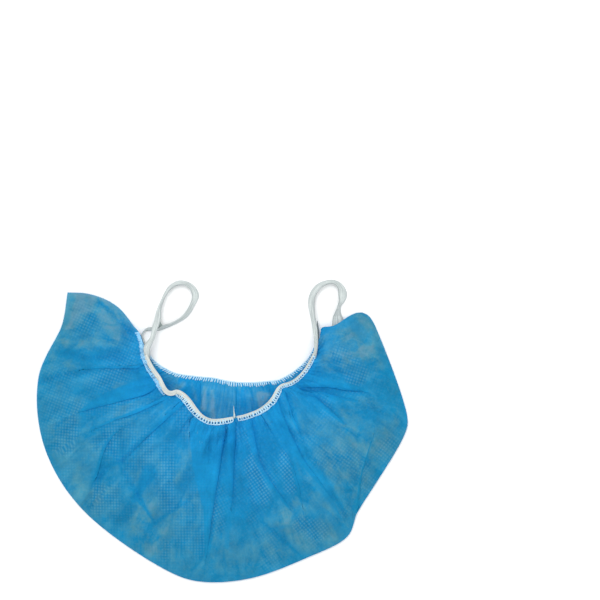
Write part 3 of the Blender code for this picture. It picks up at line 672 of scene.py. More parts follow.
def dense_places(grid, pleats, creases):
    """Share of extra plies, thinness of the single ply with painted shade below zero, painted
    highlight and lattice at each point.
    """
    share, down = grid["share"], grid["down"]
    x, y = np.moveaxis(grid["plan"] / MM, -1, 0)
    front = pleats is FRONT_PLEATS
    lines = pleat_lines(pleats, down[0])
    dense = ply_places(grid, lines)
    weave = np.zeros(share.shape)
    if front:
        dense = np.maximum(dense, 0.5 * ease(down, 0.90, 1.0))
        for row in DENSE_BANDS:
            dense = np.maximum(dense, line_share(x, y, row))
        thinness_and_shade = 0.25 + 0.13 * ease(down, 0.1, 0.7)
        for spot_x, spot_y, radius, amount in THIN_SPOTS:
            thinness_and_shade += amount * np.exp(-((x - spot_x) ** 2 + (y - spot_y) ** 2) / radius**2)
        thinness_and_shade = np.maximum(thinness_and_shade, -0.25)
        for row in WEAVE_BANDS:
            near = row[6] * np.exp(-((np.maximum(line_away(x, y, row), 0.0) / WEAVE_FADE) ** 2))
            weave = weave + near if row[6] < 0 else np.maximum(weave, near)
    else:
        dense = np.maximum(dense, 0.45)
        thinness_and_shade = np.full(share.shape, 0.60)
        for row in INNER_THIN:
            near = line_share(x, y, row)
            dense = dense * (1.0 - np.clip(near, 0, 1))
            thinness_and_shade = thinness_and_shade + 2.4 * near
    facets = crease_fields(grid["plan"], creases)[1]
    thinness_and_shade = thinness_and_shade * (1.0 + 0.7 * np.clip(facets, -1.0, 1.2)) + 0.08 * np.clip(facets, -0.5, 1.5)
    # painted shade along the soft folds
    for points, half, strength in SOFT_FOLDS if front else ():
        near = np.zeros(share.shape)
        for first, last in zip(points[:-1], points[1:]):
            away = line_away(x, y, (*first, *last, 0.0, 0.0))
            near = np.maximum(near, np.exp(-((away / (1.3 * half)) ** 2)))
        thinness_and_shade = thinness_and_shade - strength * near
    width = RIM_LENGTH + HEM_EXTRA * down
    # painted highlight: over stacked plies, beside open edges and on the listed facets
    painted_highlight = 0.6 * dense
    # painted shade along each pleat's open edge, and a painted highlight just beside it
    for side, edge, overlap in lines:
        away = (share - edge) * side * width / EDGE_LINE
        near = np.exp(-(away**2)) * np.where(away > 0, 1.0, np.exp(-(away**2) * 2.0))
        wide = np.clip(overlap / 0.010, 0, 1)
        thinness_and_shade = thinness_and_shade - 0.75 * near * wide
        painted_highlight = np.maximum(painted_highlight, np.exp(-((away + 1.5) ** 2)) * wide)
    for row in PAINTED_HIGHLIGHT_BANDS if front else ():
        painted_highlight = np.maximum(painted_highlight, line_share(x, y, row))
    return dense, np.clip(thinness_and_shade, -1.0, 3.0), painted_highlight, weave


def soft_waves(plan, share, random, count, height):
    """Broad uneven swells."""
    total = np.zeros(plan.shape[:-1])
    for _ in range(count):
        pitch = random.uniform(0.018, 0.050)
        heading = random.uniform(0, math.pi)
        phase = random.uniform(0, 2 * math.pi)
        run = (plan[..., 0] * math.cos(heading) + plan[..., 1] * math.sin(heading)) / pitch
        sway = phase + 1.5 * np.sin(9.0 * share + phase)
        total += np.sin(2 * math.pi * run + sway) * pitch / 0.035
    return height * total / math.sqrt(count)


def pull(p, w, a, b, rest, k):
    """One pass of a family of springs between the points p[a] and p[b]."""
    first, second = p[a], p[b]
    wa, wb = w[a], w[b]
    d = second - first
    length = np.sqrt(d[..., 0] ** 2 + d[..., 1] ** 2 + d[..., 2] ** 2) + 1e-9
    both = wa + wb
    f = k * (length - rest) / (length * np.where(both > 0, both, 1.0))
    first += d * (f * wa)[..., None]
    second -= d * (f * wb)[..., None]


def spring_families(home, full):
    """Springs of a grid at rest in its home shape, apart from the extra width full."""
    n, m = home.shape[:2]
    every = slice(None)
    families = []

    def family(a, b, k, stretch):
        d = home[b] - home[a]
        rest = np.sqrt((d**2).sum(axis=-1))
        if stretch:
            rest = rest * (0.5 * (full[a] + full[b]))
        families.append((a, b, rest.astype(np.float32), k))

    reaches = ((n, 1, 1.0), (n, 2, 0.14), (n, 4, 0.04), (m, 1, 1.0), (m, 2, 0.30))
    for number, (size, reach, k) in enumerate(reaches):
        for s in range(min(2 * reach, size - reach)):
            a, b = slice(s, size - reach, 2 * reach), slice(s + reach, size, 2 * reach)
            if number < 3:
                family((a, every), (b, every), k, True)
            else:
                family((every, a), (every, b), k, False)
    for s in (0, 1):
        a, b = slice(s, n - 1, 2), slice(s + 1, n, 2)
        family((a, slice(0, m - 1)), (b, slice(1, m)), 0.22, True)
        family((a, slice(1, m)), (b, slice(0, m - 1)), 0.22, True)
    return families


def pleat_pairs(grid):
    """Points of the middle ply beside those above and below it."""
    section_of, share = grid["section_of"], grid["share"]
    pairs = []
    for i, kind in enumerate(grid["kinds"]):
        if kind != "back":
            continue
        middle = np.where(section_of == i)[0]
        middle = np.concatenate(([middle[0] - 1], middle))
        high, low = share[middle[0]], share[middle[-1]]
        wide = high - low
        for neighbour, order in ((i - 1, 1), (i + 1, 0)):
            columns = np.where(section_of == neighbour)[0]
            inside = (share[columns] > low) & (share[columns] < high) & (wide > 0.003)
            c, r = np.nonzero(inside)
            at = (high[r] - share[columns[c], r]) / wide[r] * (len(middle) - 1)
            nearest = np.clip(np.round(at).astype(int), 0, len(middle) - 1)
            pairs.append((i, order, columns[c], r, middle[nearest]))
    return pairs


def relax(p, home, w, families, sweeps, hold, pinned, least, above):
    """Lets the cloth find its folds over what lies below it."""
    pinned_at = home[pinned]
    for _ in range(sweeps):
        for a, b, rest, k in families:
            pull(p, w, a, b, rest, k)
        p += (home - p) * hold
        for upper, lower in above:
            lack = np.maximum(p[lower][:, 2] + PLY - p[upper][:, 2], 0.0)
            p[upper[0], upper[1], 2] += 0.6 * lack
            p[lower[0], lower[1], 2] -= 0.3 * lack
        np.maximum(p[..., 2], least, out=p[..., 2])
        p[pinned] = pinned_at
    return p


def small_gathers(share, down, random):
    """Uneven waves along the rim, each strongest at its own place."""
    seed = np.zeros(share.shape)
    for _ in range(60):
        cycles = random.uniform(18, 60)
        middle = random.uniform(0, 1)
        phase = random.uniform(0, 2 * math.pi)
        wave = np.sin(2 * math.pi * cycles * share + phase + random.normal(0, 2.5) * down)
        seed += wave * np.exp(-(((share - middle) / 0.07) ** 2))
    return seed


def relaxed_layer(layer, grid, random, pleats, creases, tuck, sweeps):
    """A layer's cloth with pleats, creases and the small gathers at its rim."""
    share, down, plan = grid["share"], grid["down"], grid["plan"]
    calm = ease(share, 0.0, 0.04) * ease(1 - share, 0.0, 0.04)
    calm = calm * ease(down, 0.03, 0.12) * ease(1 - down, 0.0, 0.10)
    plies = (grid["ply"] * PLY + grid["puff"] * EDGE_PUFF) * ease(1 - down, 0.0, 0.03)
    height = base_height(layer, share, down) + plies * ease(down, 0.01, 0.05)
    extra = crease_fields(plan, creases)[0]
    if layer == "front":
        height = height + calm * (extra + soft_waves(plan, share, random, 9, 0.0011))
        plies = np.clip(grid["ply"], 0, 2)
        least = (base_height("back", share, down) + LAYER_GAP + PLY_GAP * plies).astype(np.float32)
    else:
        height = height + calm * np.abs(extra)
        least = np.full(share.shape, BACK_LEAST, np.float32)
    home = np.concatenate((plan, height[..., None]), axis=-1).astype(np.float32)
    full = (1.0 + tuck * (1.0 - ease(down, 0.03, 0.28)) + SLACK).astype(np.float32)
    p = home.copy()
    seed = GATHER_HEIGHT * small_gathers(share, down, random) / 4.0
    p[..., 2] += (seed * calm * (1.0 - ease(down, 0.10, 0.55))).astype(np.float32)
    w = np.ones(share.shape, np.float32)
    pinned = down < RIM_PINNED
    w[pinned] = 0.0
    hold = np.full(share.shape + (1,), HOLD, np.float32)
    hold[:, -1] = HEM_HOLD
    hold[:, -2] = BESIDE_HEM_HOLD
    hold[0] = END_HOLD
    hold[-1] = END_HOLD
    above = []
    for i, order, columns, rows, middles in pleat_pairs(grid):
        side = pleats[sum(1 for k in grid["kinds"][:i] if k == "back")][0]
        outer, inner = (columns, rows), (middles, rows)
        above.append((outer, inner) if (order == 1) == (side > 0) else (inner, outer))
    p = relax(p, home, w, spring_families(home, full), sweeps, hold, pinned, least, above)
    backs = [i for i, kind in enumerate(grid["kinds"]) if kind == "back"]
    for i, (_, _, overlap) in zip(backs, pleat_lines(pleats, down[0])):
        columns = np.where(grid["section_of"] == i)[0]
        columns = np.concatenate(([columns[0] - 1], columns))
        shut = 1.0 - ease(overlap, 0.0010, 0.0055)
        p[columns] += (p[columns].mean(axis=0) - p[columns]) * shut[None, :, None]
    return p


def plain_object(name, vertices, faces, material, uv=None, weld=0.0, values=()):
    """Smooth mesh object on the root, with cloth coordinates and values at its points."""
    mesh = bpy.data.meshes.new(name)
    vertices = np.asarray(vertices, np.float32).reshape(-1, 3)
    faces = np.asarray(faces, np.int32)
    mesh.vertices.add(len(vertices))
    mesh.vertices.foreach_set("co", vertices.ravel())
    mesh.loops.add(faces.size)
    mesh.loops.foreach_set("vertex_index", faces.ravel())
    mesh.polygons.add(len(faces))
    mesh.polygons.foreach_set("loop_start", np.arange(0, faces.size, 4, dtype=np.int32))
    if uv is not None:
        layer = mesh.uv_layers.new(name="strip")
        layer.data.foreach_set("uv", np.asarray(uv, np.float32)[faces.ravel()].ravel())
    for key, numbers in dict(values).items():
        field = mesh.attributes.new(key, "FLOAT", "POINT")
        field.data.foreach_set("value", np.asarray(numbers, np.float32).ravel())
    mesh.update(calc_edges=True)
    mesh.validate()
    if weld:
        edit = bmesh.new()
        edit.from_mesh(mesh)
        bmesh.ops.remove_doubles(edit, verts=edit.verts, dist=weld)
        bmesh.ops.dissolve_degenerate(edit, dist=0.5 * weld, edges=edit.edges)
        edit.to_mesh(mesh)
        edit.free()
    mesh.polygons.foreach_set("use_smooth", np.ones(len(mesh.polygons), bool))
    mesh.materials.append(material)
    made = bpy.data.objects.new(name, mesh)
    bpy.context.scene.collection.objects.link(made)
    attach(made, "root")
    return made


def grid_faces(n, m, closed=False):
    """Quads of an n by m grid of points; closed joins the last column to the first."""
    index = np.arange(n * m).reshape(n, m)
    if closed:
        index = np.concatenate((index, index[:, :1]), axis=1)
    quads = np.stack((index[:-1, :-1], index[:-1, 1:], index[1:, 1:], index[1:, :-1]), axis=-1)
    return quads.reshape(-1, 4)


class Value:
    """An output of a node, with plain sums, differences and products."""

    def __init__(self, nodes, socket):
        self.nodes = nodes
        self.socket = socket

    def __add__(self, other):
        return self.nodes.math("ADD", self, other)

    def __sub__(self, other):
        return self.nodes.math("SUBTRACT", self, other)

    def __rsub__(self, other):
        return self.nodes.math("SUBTRACT", other, self)

    def __mul__(self, other):
        return self.nodes.math("MULTIPLY", self, other)

    def clamped(self):
        self.socket.node.use_clamp = True
        return self


class Nodes:
    """Short hand for building a material's node tree."""

    def __init__(self, name):
        self.material = bpy.data.materials.new(name)
        self.material.use_nodes = True
        self.tree = self.material.node_tree
        self.shader = self.tree.nodes["Principled BSDF"]

    def add(self, kind, inputs=(), output=0, **settings):
        node = self.tree.nodes.new(kind)
        for key, value in settings.items():
            setattr(node, key, value)
        for key, value in dict(inputs).items():
            self.put(value, node.inputs[key])
        return Value(self, node.outputs[output])

    def put(self, value, socket):
        if isinstance(value, Value):
            self.tree.links.new(value.socket, socket)
        else:
            socket.default_value = value

    def surface(self, key, value):
        self.put(value, self.shader.inputs[key])

    def field(self, name):
        return self.add("ShaderNodeAttribute", output="Fac", attribute_name=name)

    def strip(self):
        return self.add("ShaderNodeUVMap", uv_map="strip")

    def parts(self, vector):
        first = self.add("ShaderNodeSeparateXYZ", {0: vector})
        return first, Value(self, first.socket.node.outputs[1])

    def math(self, operation, a, b=0.0):
        return self.add("ShaderNodeMath", {0: a, 1: b}, operation=operation)

    def vector(self, operation, a, b=(0.0, 0.0, 0.0), output=0):
        return self.add("ShaderNodeVectorMath", {0: a, 1: b}, output, operation=operation)

    def noise(self, vector, scale, detail=2.0, rough=0.5, distortion=0.0, output=0):
        inputs = {"Vector": vector, "Scale": scale, "Detail": detail}
        inputs.update({"Roughness": rough, "Distortion": distortion})
        return self.add("ShaderNodeTexNoise", inputs, output)

    def span(self, value, low, high, to_low=0.0, to_high=1.0):
        inputs = {"Value": value, "From Min": low, "From Max": high}
        inputs.update({"To Min": to_low, "To Max": to_high})
        return self.add("ShaderNodeMapRange", inputs, clamp=True)

    def mapping(self, vector, scale, turn=0.0):
        inputs = {"Vector": vector, "Scale": scale, "Rotation": (0.0, 0.0, turn)}
        return self.add("ShaderNodeMapping", inputs)

    def mix(self, share, a, b):
        return self.add("ShaderNodeMix", {0: share, 6: a, 7: b}, 2, data_type="RGBA")

    def bump(self, height, strength, distance):
        inputs = {"Strength": strength, "Distance": distance, "Height": height}
        self.surface("Normal", self.add("ShaderNodeBump", inputs))


def cloth_material():
    """Embossed spun cloth: cloudy fibres, thin bonded dots on a square lattice."""
    n = Nodes("embossed_cloth")
    uv = n.strip()
    dense, thinness_and_shade, weave = n.field("dense"), n.field("thinness_and_shade"), n.field("weave")
    across, down, painted_light = n.field("across"), n.field("down"), n.field("painted_light")

    # bonded dots, slightly out of line
    wobble = n.vector("SUBTRACT", n.noise(uv, 260.0, output="Color"), (0.5, 0.5, 0.5))
    wobble = n.vector("MULTIPLY", wobble, (DOT_WOBBLE, DOT_WOBBLE, DOT_WOBBLE))
    cell = n.mapping(n.vector("ADD", uv, wobble), (1.0 / DOT_PITCH, 1.0 / DOT_PITCH, 0.0))
    offset = n.vector("SUBTRACT", n.vector("FRACTION", cell), (0.5, 0.5, 0.0))
    dot = n.span(n.vector("LENGTH", offset, output="Value"), 0.16, 0.50, 1.0, 0.0)

    # unevenness of the web, from broad streaks down to single fibres
    place = n.add("ShaderNodeCombineXYZ", {0: across * 62.0, 1: down * 5.0})
    streak = n.noise(place, 1.0, detail=3.0, rough=0.55, distortion=0.8)
    patch = n.noise(uv, 34.0, distortion=0.3)
    cloud = n.noise(uv, 120.0, detail=4.0, rough=0.6)
    fleck = n.noise(uv, 620.0, detail=3.0, rough=0.6)
    fibre_a = n.noise(n.mapping(uv, (380.0, 2600.0, 1.0), turn=0.5), 1.0, distortion=0.4)
    fibre_b = n.noise(n.mapping(uv, (2600.0, 420.0, 1.0), turn=0.2), 1.0, distortion=0.4)
    broad = streak * 0.55 + patch * 0.45
    small = cloud * 0.70 + fleck * 0.30
    uneven = n.span(broad * 0.60 + small * 0.40, 0.40, 0.60, -0.60, 2.60)
    single = (1.0 - dense).clamped()

    # where the dots stand out: in patches, less over several plies
    plain = n.span(across, 0.34, 0.56, 0.03, 0.08) - weave * 0.16
    shown = n.noise(n.vector("ADD", uv, (0.7, 0.3, 0.0)), 30.0, distortion=0.6) - plain
    shown = n.span(shown, 0.42, 0.58, 0.06, 1.0) * n.span(single, 0.0, 1.0, 0.20, 1.0)
    shown = shown * n.span(weave, 0.0, 1.3, 0.68, 1.25)

    # one ply lets pale ground through, unevenly but where it is barest
    steady = uneven + (1.0 - uneven) * n.span(thinness_and_shade, 0.6, 1.6, 0.0, 0.7)
    sheer = n.math("MAXIMUM", thinness_and_shade, 0.0) * steady * single
    # painted shade: mixed in where the field falls below zero, along folds, pleat edges and dark
    # spots
    painted_shade = n.math("MINIMUM", n.math("MAXIMUM", thinness_and_shade * -1.0, 0.0), 1.0)
    colour = n.mix(n.math("MINIMUM", sheer, 1.0), DENSE_COLOUR, SHEER_COLOUR)
    colour = n.mix((sheer - 1.0).clamped(), colour, BARE_COLOUR)
    colour = n.mix(painted_shade, colour, SHADE_AND_GAP_COLOUR)
    gaps = (1.0 - dot) * shown * n.span(weave, 0.6, 1.3, 0.25, 0.48)
    colour = n.mix(gaps, colour, SHADE_AND_GAP_COLOUR)
    colour = n.mix(dot * shown * 0.36, colour, DOT_COLOUR)
    flecks = n.span(fleck, 0.50, 0.75) * n.span(single, 0.0, 1.0, 0.06, 0.24)
    colour = n.mix(flecks, colour, FLECK_COLOUR)

    # painted shade towards the fold, painted light from the field, fine grain and streaks of light
    hem_shade = n.mix(n.span(down, 0.05, 0.95), (1.0, 1.0, 1.0, 1.0), HEM_SHADE_TINT)
    grain = n.noise(n.vector("ADD", uv, (0.2, 0.9, 0.0)), 60.0, detail=6.0, rough=0.75)
    painted_light = painted_light * n.span(grain, 0.30, 0.70, 0.80, 1.20)
    painted_light = painted_light * n.span(streak, 0.30, 0.70, 0.93, 1.07)
    grey = n.add("ShaderNodeCombineXYZ", {0: painted_light, 1: painted_light, 2: painted_light})
    n.surface("Base Color", n.vector("MULTIPLY", colour, n.vector("MULTIPLY", hem_shade, grey)))

    pores = (sheer * 0.05).clamped() + dot * shown * 0.05
    n.surface("Alpha", (0.98 - pores).clamped())
    n.surface("Roughness", 0.70 - dot * 0.16)
    n.surface("Specular IOR Level", 0.06)
    relief = (fibre_a * 0.5 + fibre_b * 0.5) * 0.35 - dot * 0.8 + fleck * 0.3
    n.bump(relief, strength=0.5, distance=0.00020)
    through = n.add("ShaderNodeBsdfTranslucent", {"Color": THROUGH_COLOUR})
    shader = Value(n, n.shader.outputs[0])
    both = n.add("ShaderNodeMixShader", {0: 0.25, 1: shader, 2: through})
    n.put(both, n.tree.nodes["Material Output"].inputs["Surface"])
    return n.material


def elastic_material(name, colours, half):
    """White knitted elastic: ribs along it and slanted stitches across each rib, with painted shade
    towards its edges.
    """
    n = Nodes(name)
    uv = n.strip()
    run, across = n.parts(uv)
    ribs = n.math("PINGPONG", across * RIBS, 0.5)
    slant = n.math("FRACT", run * STITCHES + ribs * 0.9)
    loop = n.span(n.math("ABSOLUTE", slant - 0.5), 0.08, 0.42)
    knit = n.span(ribs, 0.02, 0.30) * loop
    fuzz = n.noise(uv, 2500.0, detail=3.0, rough=0.6)
    blotch = n.noise(uv, 160.0)
    streak = n.noise(n.mapping(uv, (70.0, 1500.0, 1.0)), 1.0)
    # painted shade: darker towards both edges of the band
    side = n.span(n.math("ABSOLUTE", across), 0.50 * half, half, 0.0, 0.45)
    shade = knit * 0.45 + (fuzz * 0.25 + blotch * 0.30) + n.span(streak, 0.35, 0.65, -0.34, 0.34)
    n.surface("Base Color", n.mix((shade - side).clamped(), *colours))
    n.surface("Roughness", 0.8)
    n.surface("Specular IOR Level", 0.1)
    n.bump(knit + fuzz * 0.4, strength=0.6, distance=0.00016)
    return n.material


def thread_material(name, low, high):
    """Textured sewing thread with a fine twist."""
    n = Nodes(name)
    uv = n.strip()
    run, turn = n.parts(uv)
    twist = run * 2200.0 + turn * 2.0
    ply = n.math("ABSOLUTE", n.math("SINE", twist * math.pi))
    shade = ply * 0.7 + n.noise(uv, 900.0) * 0.3
    n.surface("Base Color", n.mix(shade, low, high))
    n.surface("Roughness", 0.6)
    n.bump(ply, strength=0.5, distance=0.00006)
    return n.material


def floor_material():
    """Plain pale ground."""
    n = Nodes("pale_floor")
    n.surface("Base Color", (0.95, 0.95, 0.95, 1.0))
    n.surface("Roughness", 0.9)
    return n.material


CLOTH = cloth_material()
WHITE_THREAD = thread_material("white_thread", *WHITE_COLOURS)
PALE_THREAD = thread_material("pale_thread", *PALE_COLOURS)
CREAM_THREAD = thread_material("cream_thread", *CREAM_COLOURS)

random = np.random.RandomState(11)
front_grid = pleated_layer("front", FRONT_PLEATS, FRONT_STEP, FRONT_ROWS)
back_grid = pleated_layer("back", BACK_PLEATS, BACK_STEP, BACK_ROWS)
placed_creases = list(CREASES)
for points, _, _ in SOFT_FOLDS:
    for first, last in zip(points[:-1], points[1:]):
        placed_creases.append((*first, *last, FOLD_HEIGHT, FOLD_WIDTH))
front_creases = [np.multiply(row, MM) for row in placed_creases]
front_creases += scattered_creases(random, count=170, lean=0.45, height=0.0017)
back_creases = scattered_creases(random, count=60, lean=0.3, height=0.0006)
front_cloth = relaxed_layer(
    "front", front_grid, random, FRONT_PLEATS, front_creases, tuck=0.16, sweeps=130
)
back_cloth = relaxed_layer(
    "back", back_grid, random, BACK_PLEATS, back_creases, tuck=0.05, sweeps=60
)
front_uv = strip_uv(front_grid, FRONT_PLEATS, FRONT_CURVE, still=5, turned=0.0)
back_uv = strip_uv(back_grid, BACK_PLEATS, BACK_CURVE, still=2, turned=0.14)
front_look = dense_places(front_grid, FRONT_PLEATS, front_creases)
back_look = dense_places(back_grid, BACK_PLEATS, back_creases)
front_faces = grid_faces(*front_cloth.shape[:2])
back_faces = grid_faces(*back_cloth.shape[:2])[:, ::-1]


def joined(front, back):
    """Values of the front layer's points, then of the back layer's."""
    return np.concatenate((front.reshape(-1, *front.shape[2:]), back.reshape(-1, *back.shape[2:])))


pouch = plain_object(
    "pouch_cloth",
    joined(front_cloth, back_cloth),
    np.concatenate((front_faces, back_faces + front_cloth.shape[0] * front_cloth.shape[1])),
    CLOTH,
    joined(front_uv, back_uv),
    weld=0.00003,
    values={
        "dense": joined(front_look[0], back_look[0]),
        "thinness_and_shade": joined(front_look[1], back_look[1]),
        "weave": joined(front_look[3], back_look[3]),
        "across": joined(front_grid["share"], back_grid["share"]),
        "down": joined(front_grid["down"], back_grid["down"]),
        # painted light: highlights on the front layer, and the back layer lifted out of the shade
        # it lies in
        "painted_light": joined(0.985 + 0.13 * front_look[2], 1.16 + 0.04 * back_look[2]),
    },
)


def cloth_at(along, depth, back=False):
    """Points of the relaxed cloth at shares along and at metres in from a rim."""
    grid, cloth = (back_grid, back_cloth) if back else (front_grid, front_cloth)
    along = np.atleast_1d(np.asarray(along, float))
    depth = np.broadcast_to(np.asarray(depth, float), along.shape)
    over = np.array([grid["kinds"][i] == "over" for i in grid["section_of"]])
    rows = []
    for r in range(16):
        share, points = grid["share"][over, r], cloth[over, r]
        leads = share >= np.maximum.accumulate(share) - 1e-9
        rows.append(read_rows(along, share[leads], points[leads]))
    rows = np.array(rows)
    steps = np.linalg.norm(np.diff(rows, axis=0), axis=-1)
    run = np.concatenate((np.zeros((1, len(along))), np.cumsum(steps, axis=0)))
    return np.array([read_rows(depth[i], run[:, i], rows[:, i]) for i in range(len(along))])


CLOTH_TREE = BVHTree.FromPolygons(front_cloth.reshape(-1, 3).tolist(), front_faces.tolist())


def cloth_top(points):
    """Heights of the front layer's upper side over or under the points, low where there is none."""
    heights = []
    for x, y in np.asarray(points)[..., :2].reshape(-1, 2):
        hit = CLOTH_TREE.ray_cast(Vector((x, y, 0.1)), Vector((0.0, 0.0, -1.0)))[0]
        heights.append(hit.z if hit else -1.0)
    return np.array(heights).reshape(np.asarray(points).shape[:-1])


def level_sides(path):
    """Unit tangents and level side vectors along a path."""
    tangent = unit(np.gradient(path, axis=0))
    return tangent, unit(np.cross(tangent, UP))


def ribbon_rings(path, side, up, width, thickness, ribs=5):
    """Rings of a ribbed flat band around a path."""
    across = np.linspace(-0.5, 0.5, 4 * ribs + 1)
    crown = 0.72 + 0.28 * np.abs(np.sin(math.pi * ribs * (across + 0.5)))
    crown = crown * np.sqrt(np.clip(1.0 - (2.0 * across) ** 6, 0.0, 1.0))
    x = np.concatenate((across, across[::-1][1:-1]))
    z = np.concatenate((crown, -crown[::-1][1:-1])) * 0.5 * thickness
    width = np.broadcast_to(width, (len(path),))[:, None, None]
    return path[:, None] + side[:, None] * (x[:, None] * width) + up[:, None] * z[:, None], x


def strip_places(run, across):
    """Cloth coordinates of a grid, from the run of its rings and places on each ring."""
    return np.stack(np.broadcast_arrays(run[:, None], across[None, :]), axis=-1).reshape(-1, 2)


def closed_strip(n, m, first, shift):
    """Quads of n flat rings of m points, with both ends closed from the ring's first pair on."""
    caps = []
    for ring in (0, n - 1):
        for k in range(first, m // 2 - 1):
            quad = [ring * m + i for i in (k, k + 1, m - k - 1 - shift, m - k - shift)]
            caps.append(quad if ring else quad[::-1])
    return np.concatenate((grid_faces(n, m, closed=True), np.array(caps)))


def ribbon(name, path, side, up, width, thickness, material):
    """Flat band along a path, with both ends closed."""
    rings, x = ribbon_rings(path, side, up, width, thickness)
    uv = strip_places(arc_lengths(path), x * np.mean(width))
    faces = closed_strip(*rings.shape[:2], first=1, shift=0)
    return plain_object(name, rings, faces, material, uv)


def tube_rings(points, radius, sides=6):
    """Rings of a round thread around points."""
    tangent = np.gradient(points, axis=0)
    tangent /= np.linalg.norm(tangent, axis=1)[:, None] + 1e-12
    side = np.cross(tangent, UP)
    flat = np.linalg.norm(side, axis=1) < 0.05
    side[flat] = np.cross(tangent[flat], (1.0, 0.0, 0.0))
    side = unit(side)
    up = np.cross(side, tangent)
    angle = np.linspace(0, 2 * math.pi, sides, endpoint=False)[:, None]
    ring = np.cos(angle) * side[:, None] + np.sin(angle) * up[:, None]
    return points[:, None] + ring * np.broadcast_to(radius, (len(points),))[:, None, None]


def threads(name, runs, material, sides=6):
    """One mesh of many thin round threads, given as points and radius."""
    vertices, faces, uv = [], [], []
    count = 0
    ends = np.array([(0, 1, 2, 3), (0, 3, 4, 5)])
    for points, radius in runs:
        points = np.asarray(points, float)
        rings = tube_rings(points, radius, sides)
        rings[..., 2] = np.maximum(rings[..., 2], FLOOR_GAP)
        n = len(points)
        vertices.append(rings.reshape(-1, 3))
        faces.append((grid_faces(n, sides, closed=True) + count)[:, ::-1])
        faces.append(ends + count)
        faces.append(ends[:, ::-1] + count + (n - 1) * sides)
        uv.append(strip_places(arc_lengths(points), np.arange(sides) / sides))
        count += n * sides
    return plain_object(
        name, np.concatenate(vertices), np.concatenate(faces), material, np.concatenate(uv)
    )


def table_value(rows, column, at):
    return np.interp(at, [row[0] for row in rows], [row[column] for row in rows])


def even(values, size):
    """Rows of values averaged with their neighbours."""
    window = np.hanning(size) / np.hanning(size).sum()
    padded = np.pad(values, ((size // 2, size // 2), (0, 0)), mode="edge")
    columns = [np.convolve(column, window, mode="valid") for column in padded.T]
    return np.stack(columns, axis=-1)


def rim_line(along, width, back):
    """Smoothed edge of a rim and its unit side vectors into the cloth."""
    edge = cloth_at(along, 0.0, back)
    slope = np.clip((cloth_at(along, width, back)[:, 2] - edge[:, 2]) / width, -0.4, 0.4)
    edge = even(edge, 13)
    side = level_sides(edge)[1]
    side[:, 2] = even(slope[:, None], 31)[:, 0]
    return edge, unit(side)


def beside_rim(at, depth):
    """Points on the front layer at metres square in from its rim."""
    along = np.linspace(0.03, 0.985, 420)
    edge, side = rim_line(along, table_value(FRONT_BAND, 1, along), False)
    side = unit(even(side, 15))
    depth = np.broadcast_to(depth, np.shape(at))[:, None]
    points = read_rows(at, along, edge) + depth * read_rows(at, along, side)
    points[:, 2] = np.maximum(points[:, 2], cloth_top(points))
    return points


def rim_band(name, span, table, back, material):
    """Elastic along a rim: over the front layer, or under the back layer."""
    count = 420
    along = np.linspace(span[0], span[1], count)
    width = table_value(table, 1, along)
    edge, side = rim_line(along, width, back)
    inset = BACK_BAND_INSET if back else 0.0
    path = even(edge + side * (0.5 * width + inset)[:, None], 15)
    tangent = unit(np.gradient(path, axis=0))
    side = even(side, 15)
    side = unit(side - tangent * (side * tangent).sum(axis=1)[:, None])
    up = np.cross(side, tangent)
    up *= np.sign(up[:, 2:3])
    if back:
        path[:, 2] = 0.5 * BAND_THICKNESS + BAND_GAP
        side[:, 2] = 0.0
        return ribbon(name, path, unit(side), 0.0 * up + UP, width, BAND_THICKNESS, material)
    rise = table_value(table, 3, along)
    lack = np.zeros(count)
    for part in (0.05, 0.3, 0.5, 0.7, 0.9, 1.05):
        place = path + side * ((part - 0.5) * width)[:, None]
        lack = np.maximum(lack, cloth_top(place) - place[:, 2])
    lack = np.array([lack[max(0, i - 7) : i + 8].max() for i in range(count)])
    path[:, 2] += even(lack[:, None], 15)[:, 0] * (rise > 0)
    wave = 0.00012 * np.sin(np.linspace(0, 60 * math.pi, count))
    path = path + up * ((0.5 * BAND_THICKNESS + BAND_GAP) * rise + wave)[:, None]
    return ribbon(name, path, side, up, width, BAND_THICKNESS, material)


FRONT_KNIT = elastic_material("front_knit", BAND_COLOURS, half=0.0018)
BACK_KNIT = elastic_material("back_knit", BAND_COLOURS, half=0.0014)
BACK_BAND = ((0.0, BACK_BAND_WIDTH), (1.0, BACK_BAND_WIDTH))
front_band = rim_band("front_band", (0.045, 0.975), FRONT_BAND, False, FRONT_KNIT)
back_band = rim_band("back_band", (0.060, 0.940), BACK_BAND, True, BACK_KNIT)


def ear_loop(name, rows, start, stop, material):
    """Flat elastic band through the rows, its ends at the heights start and stop."""
    knots = []
    for i, (across, along, height, turn, width) in enumerate(rows):
        height += (start - rows[0][2]) * (1.0 - float(ease(i, 1, 8)))
        height += (stop - rows[-1][2]) * (1.0 - float(ease(len(rows) - 1 - i, 0, 4)))
        twist = TWIST_SCALE * math.radians(turn)
        knots.append((across * POUCH_WIDTH, along * POUCH_DEPTH, height, twist, width))
    dense = curve_through(knots, 30)
    run = arc_lengths(dense[:, :3])
    read = read_rows(np.linspace(0, run[-1], 420), run, dense)
    path, turn, width = read[:, :3], read[:, 3:4] / TWIST_SCALE, read[:, 4]
    tangent, side = level_sides(path)
    lift = np.cross(side, tangent)
    lift *= np.sign(lift[:, 2:3])
    across = side * np.cos(turn) + lift * np.sin(turn)
    up = lift * np.cos(turn) - side * np.sin(turn)
    low = 0.5 * width * np.abs(across[:, 2]) + 0.5 * LOOP_THICKNESS * np.abs(up[:, 2])
    path[:, 2] = np.maximum(path[:, 2], low + FLOOR_GAP)
    return ribbon(name, path, across, up, width, LOOP_THICKNESS, material), path


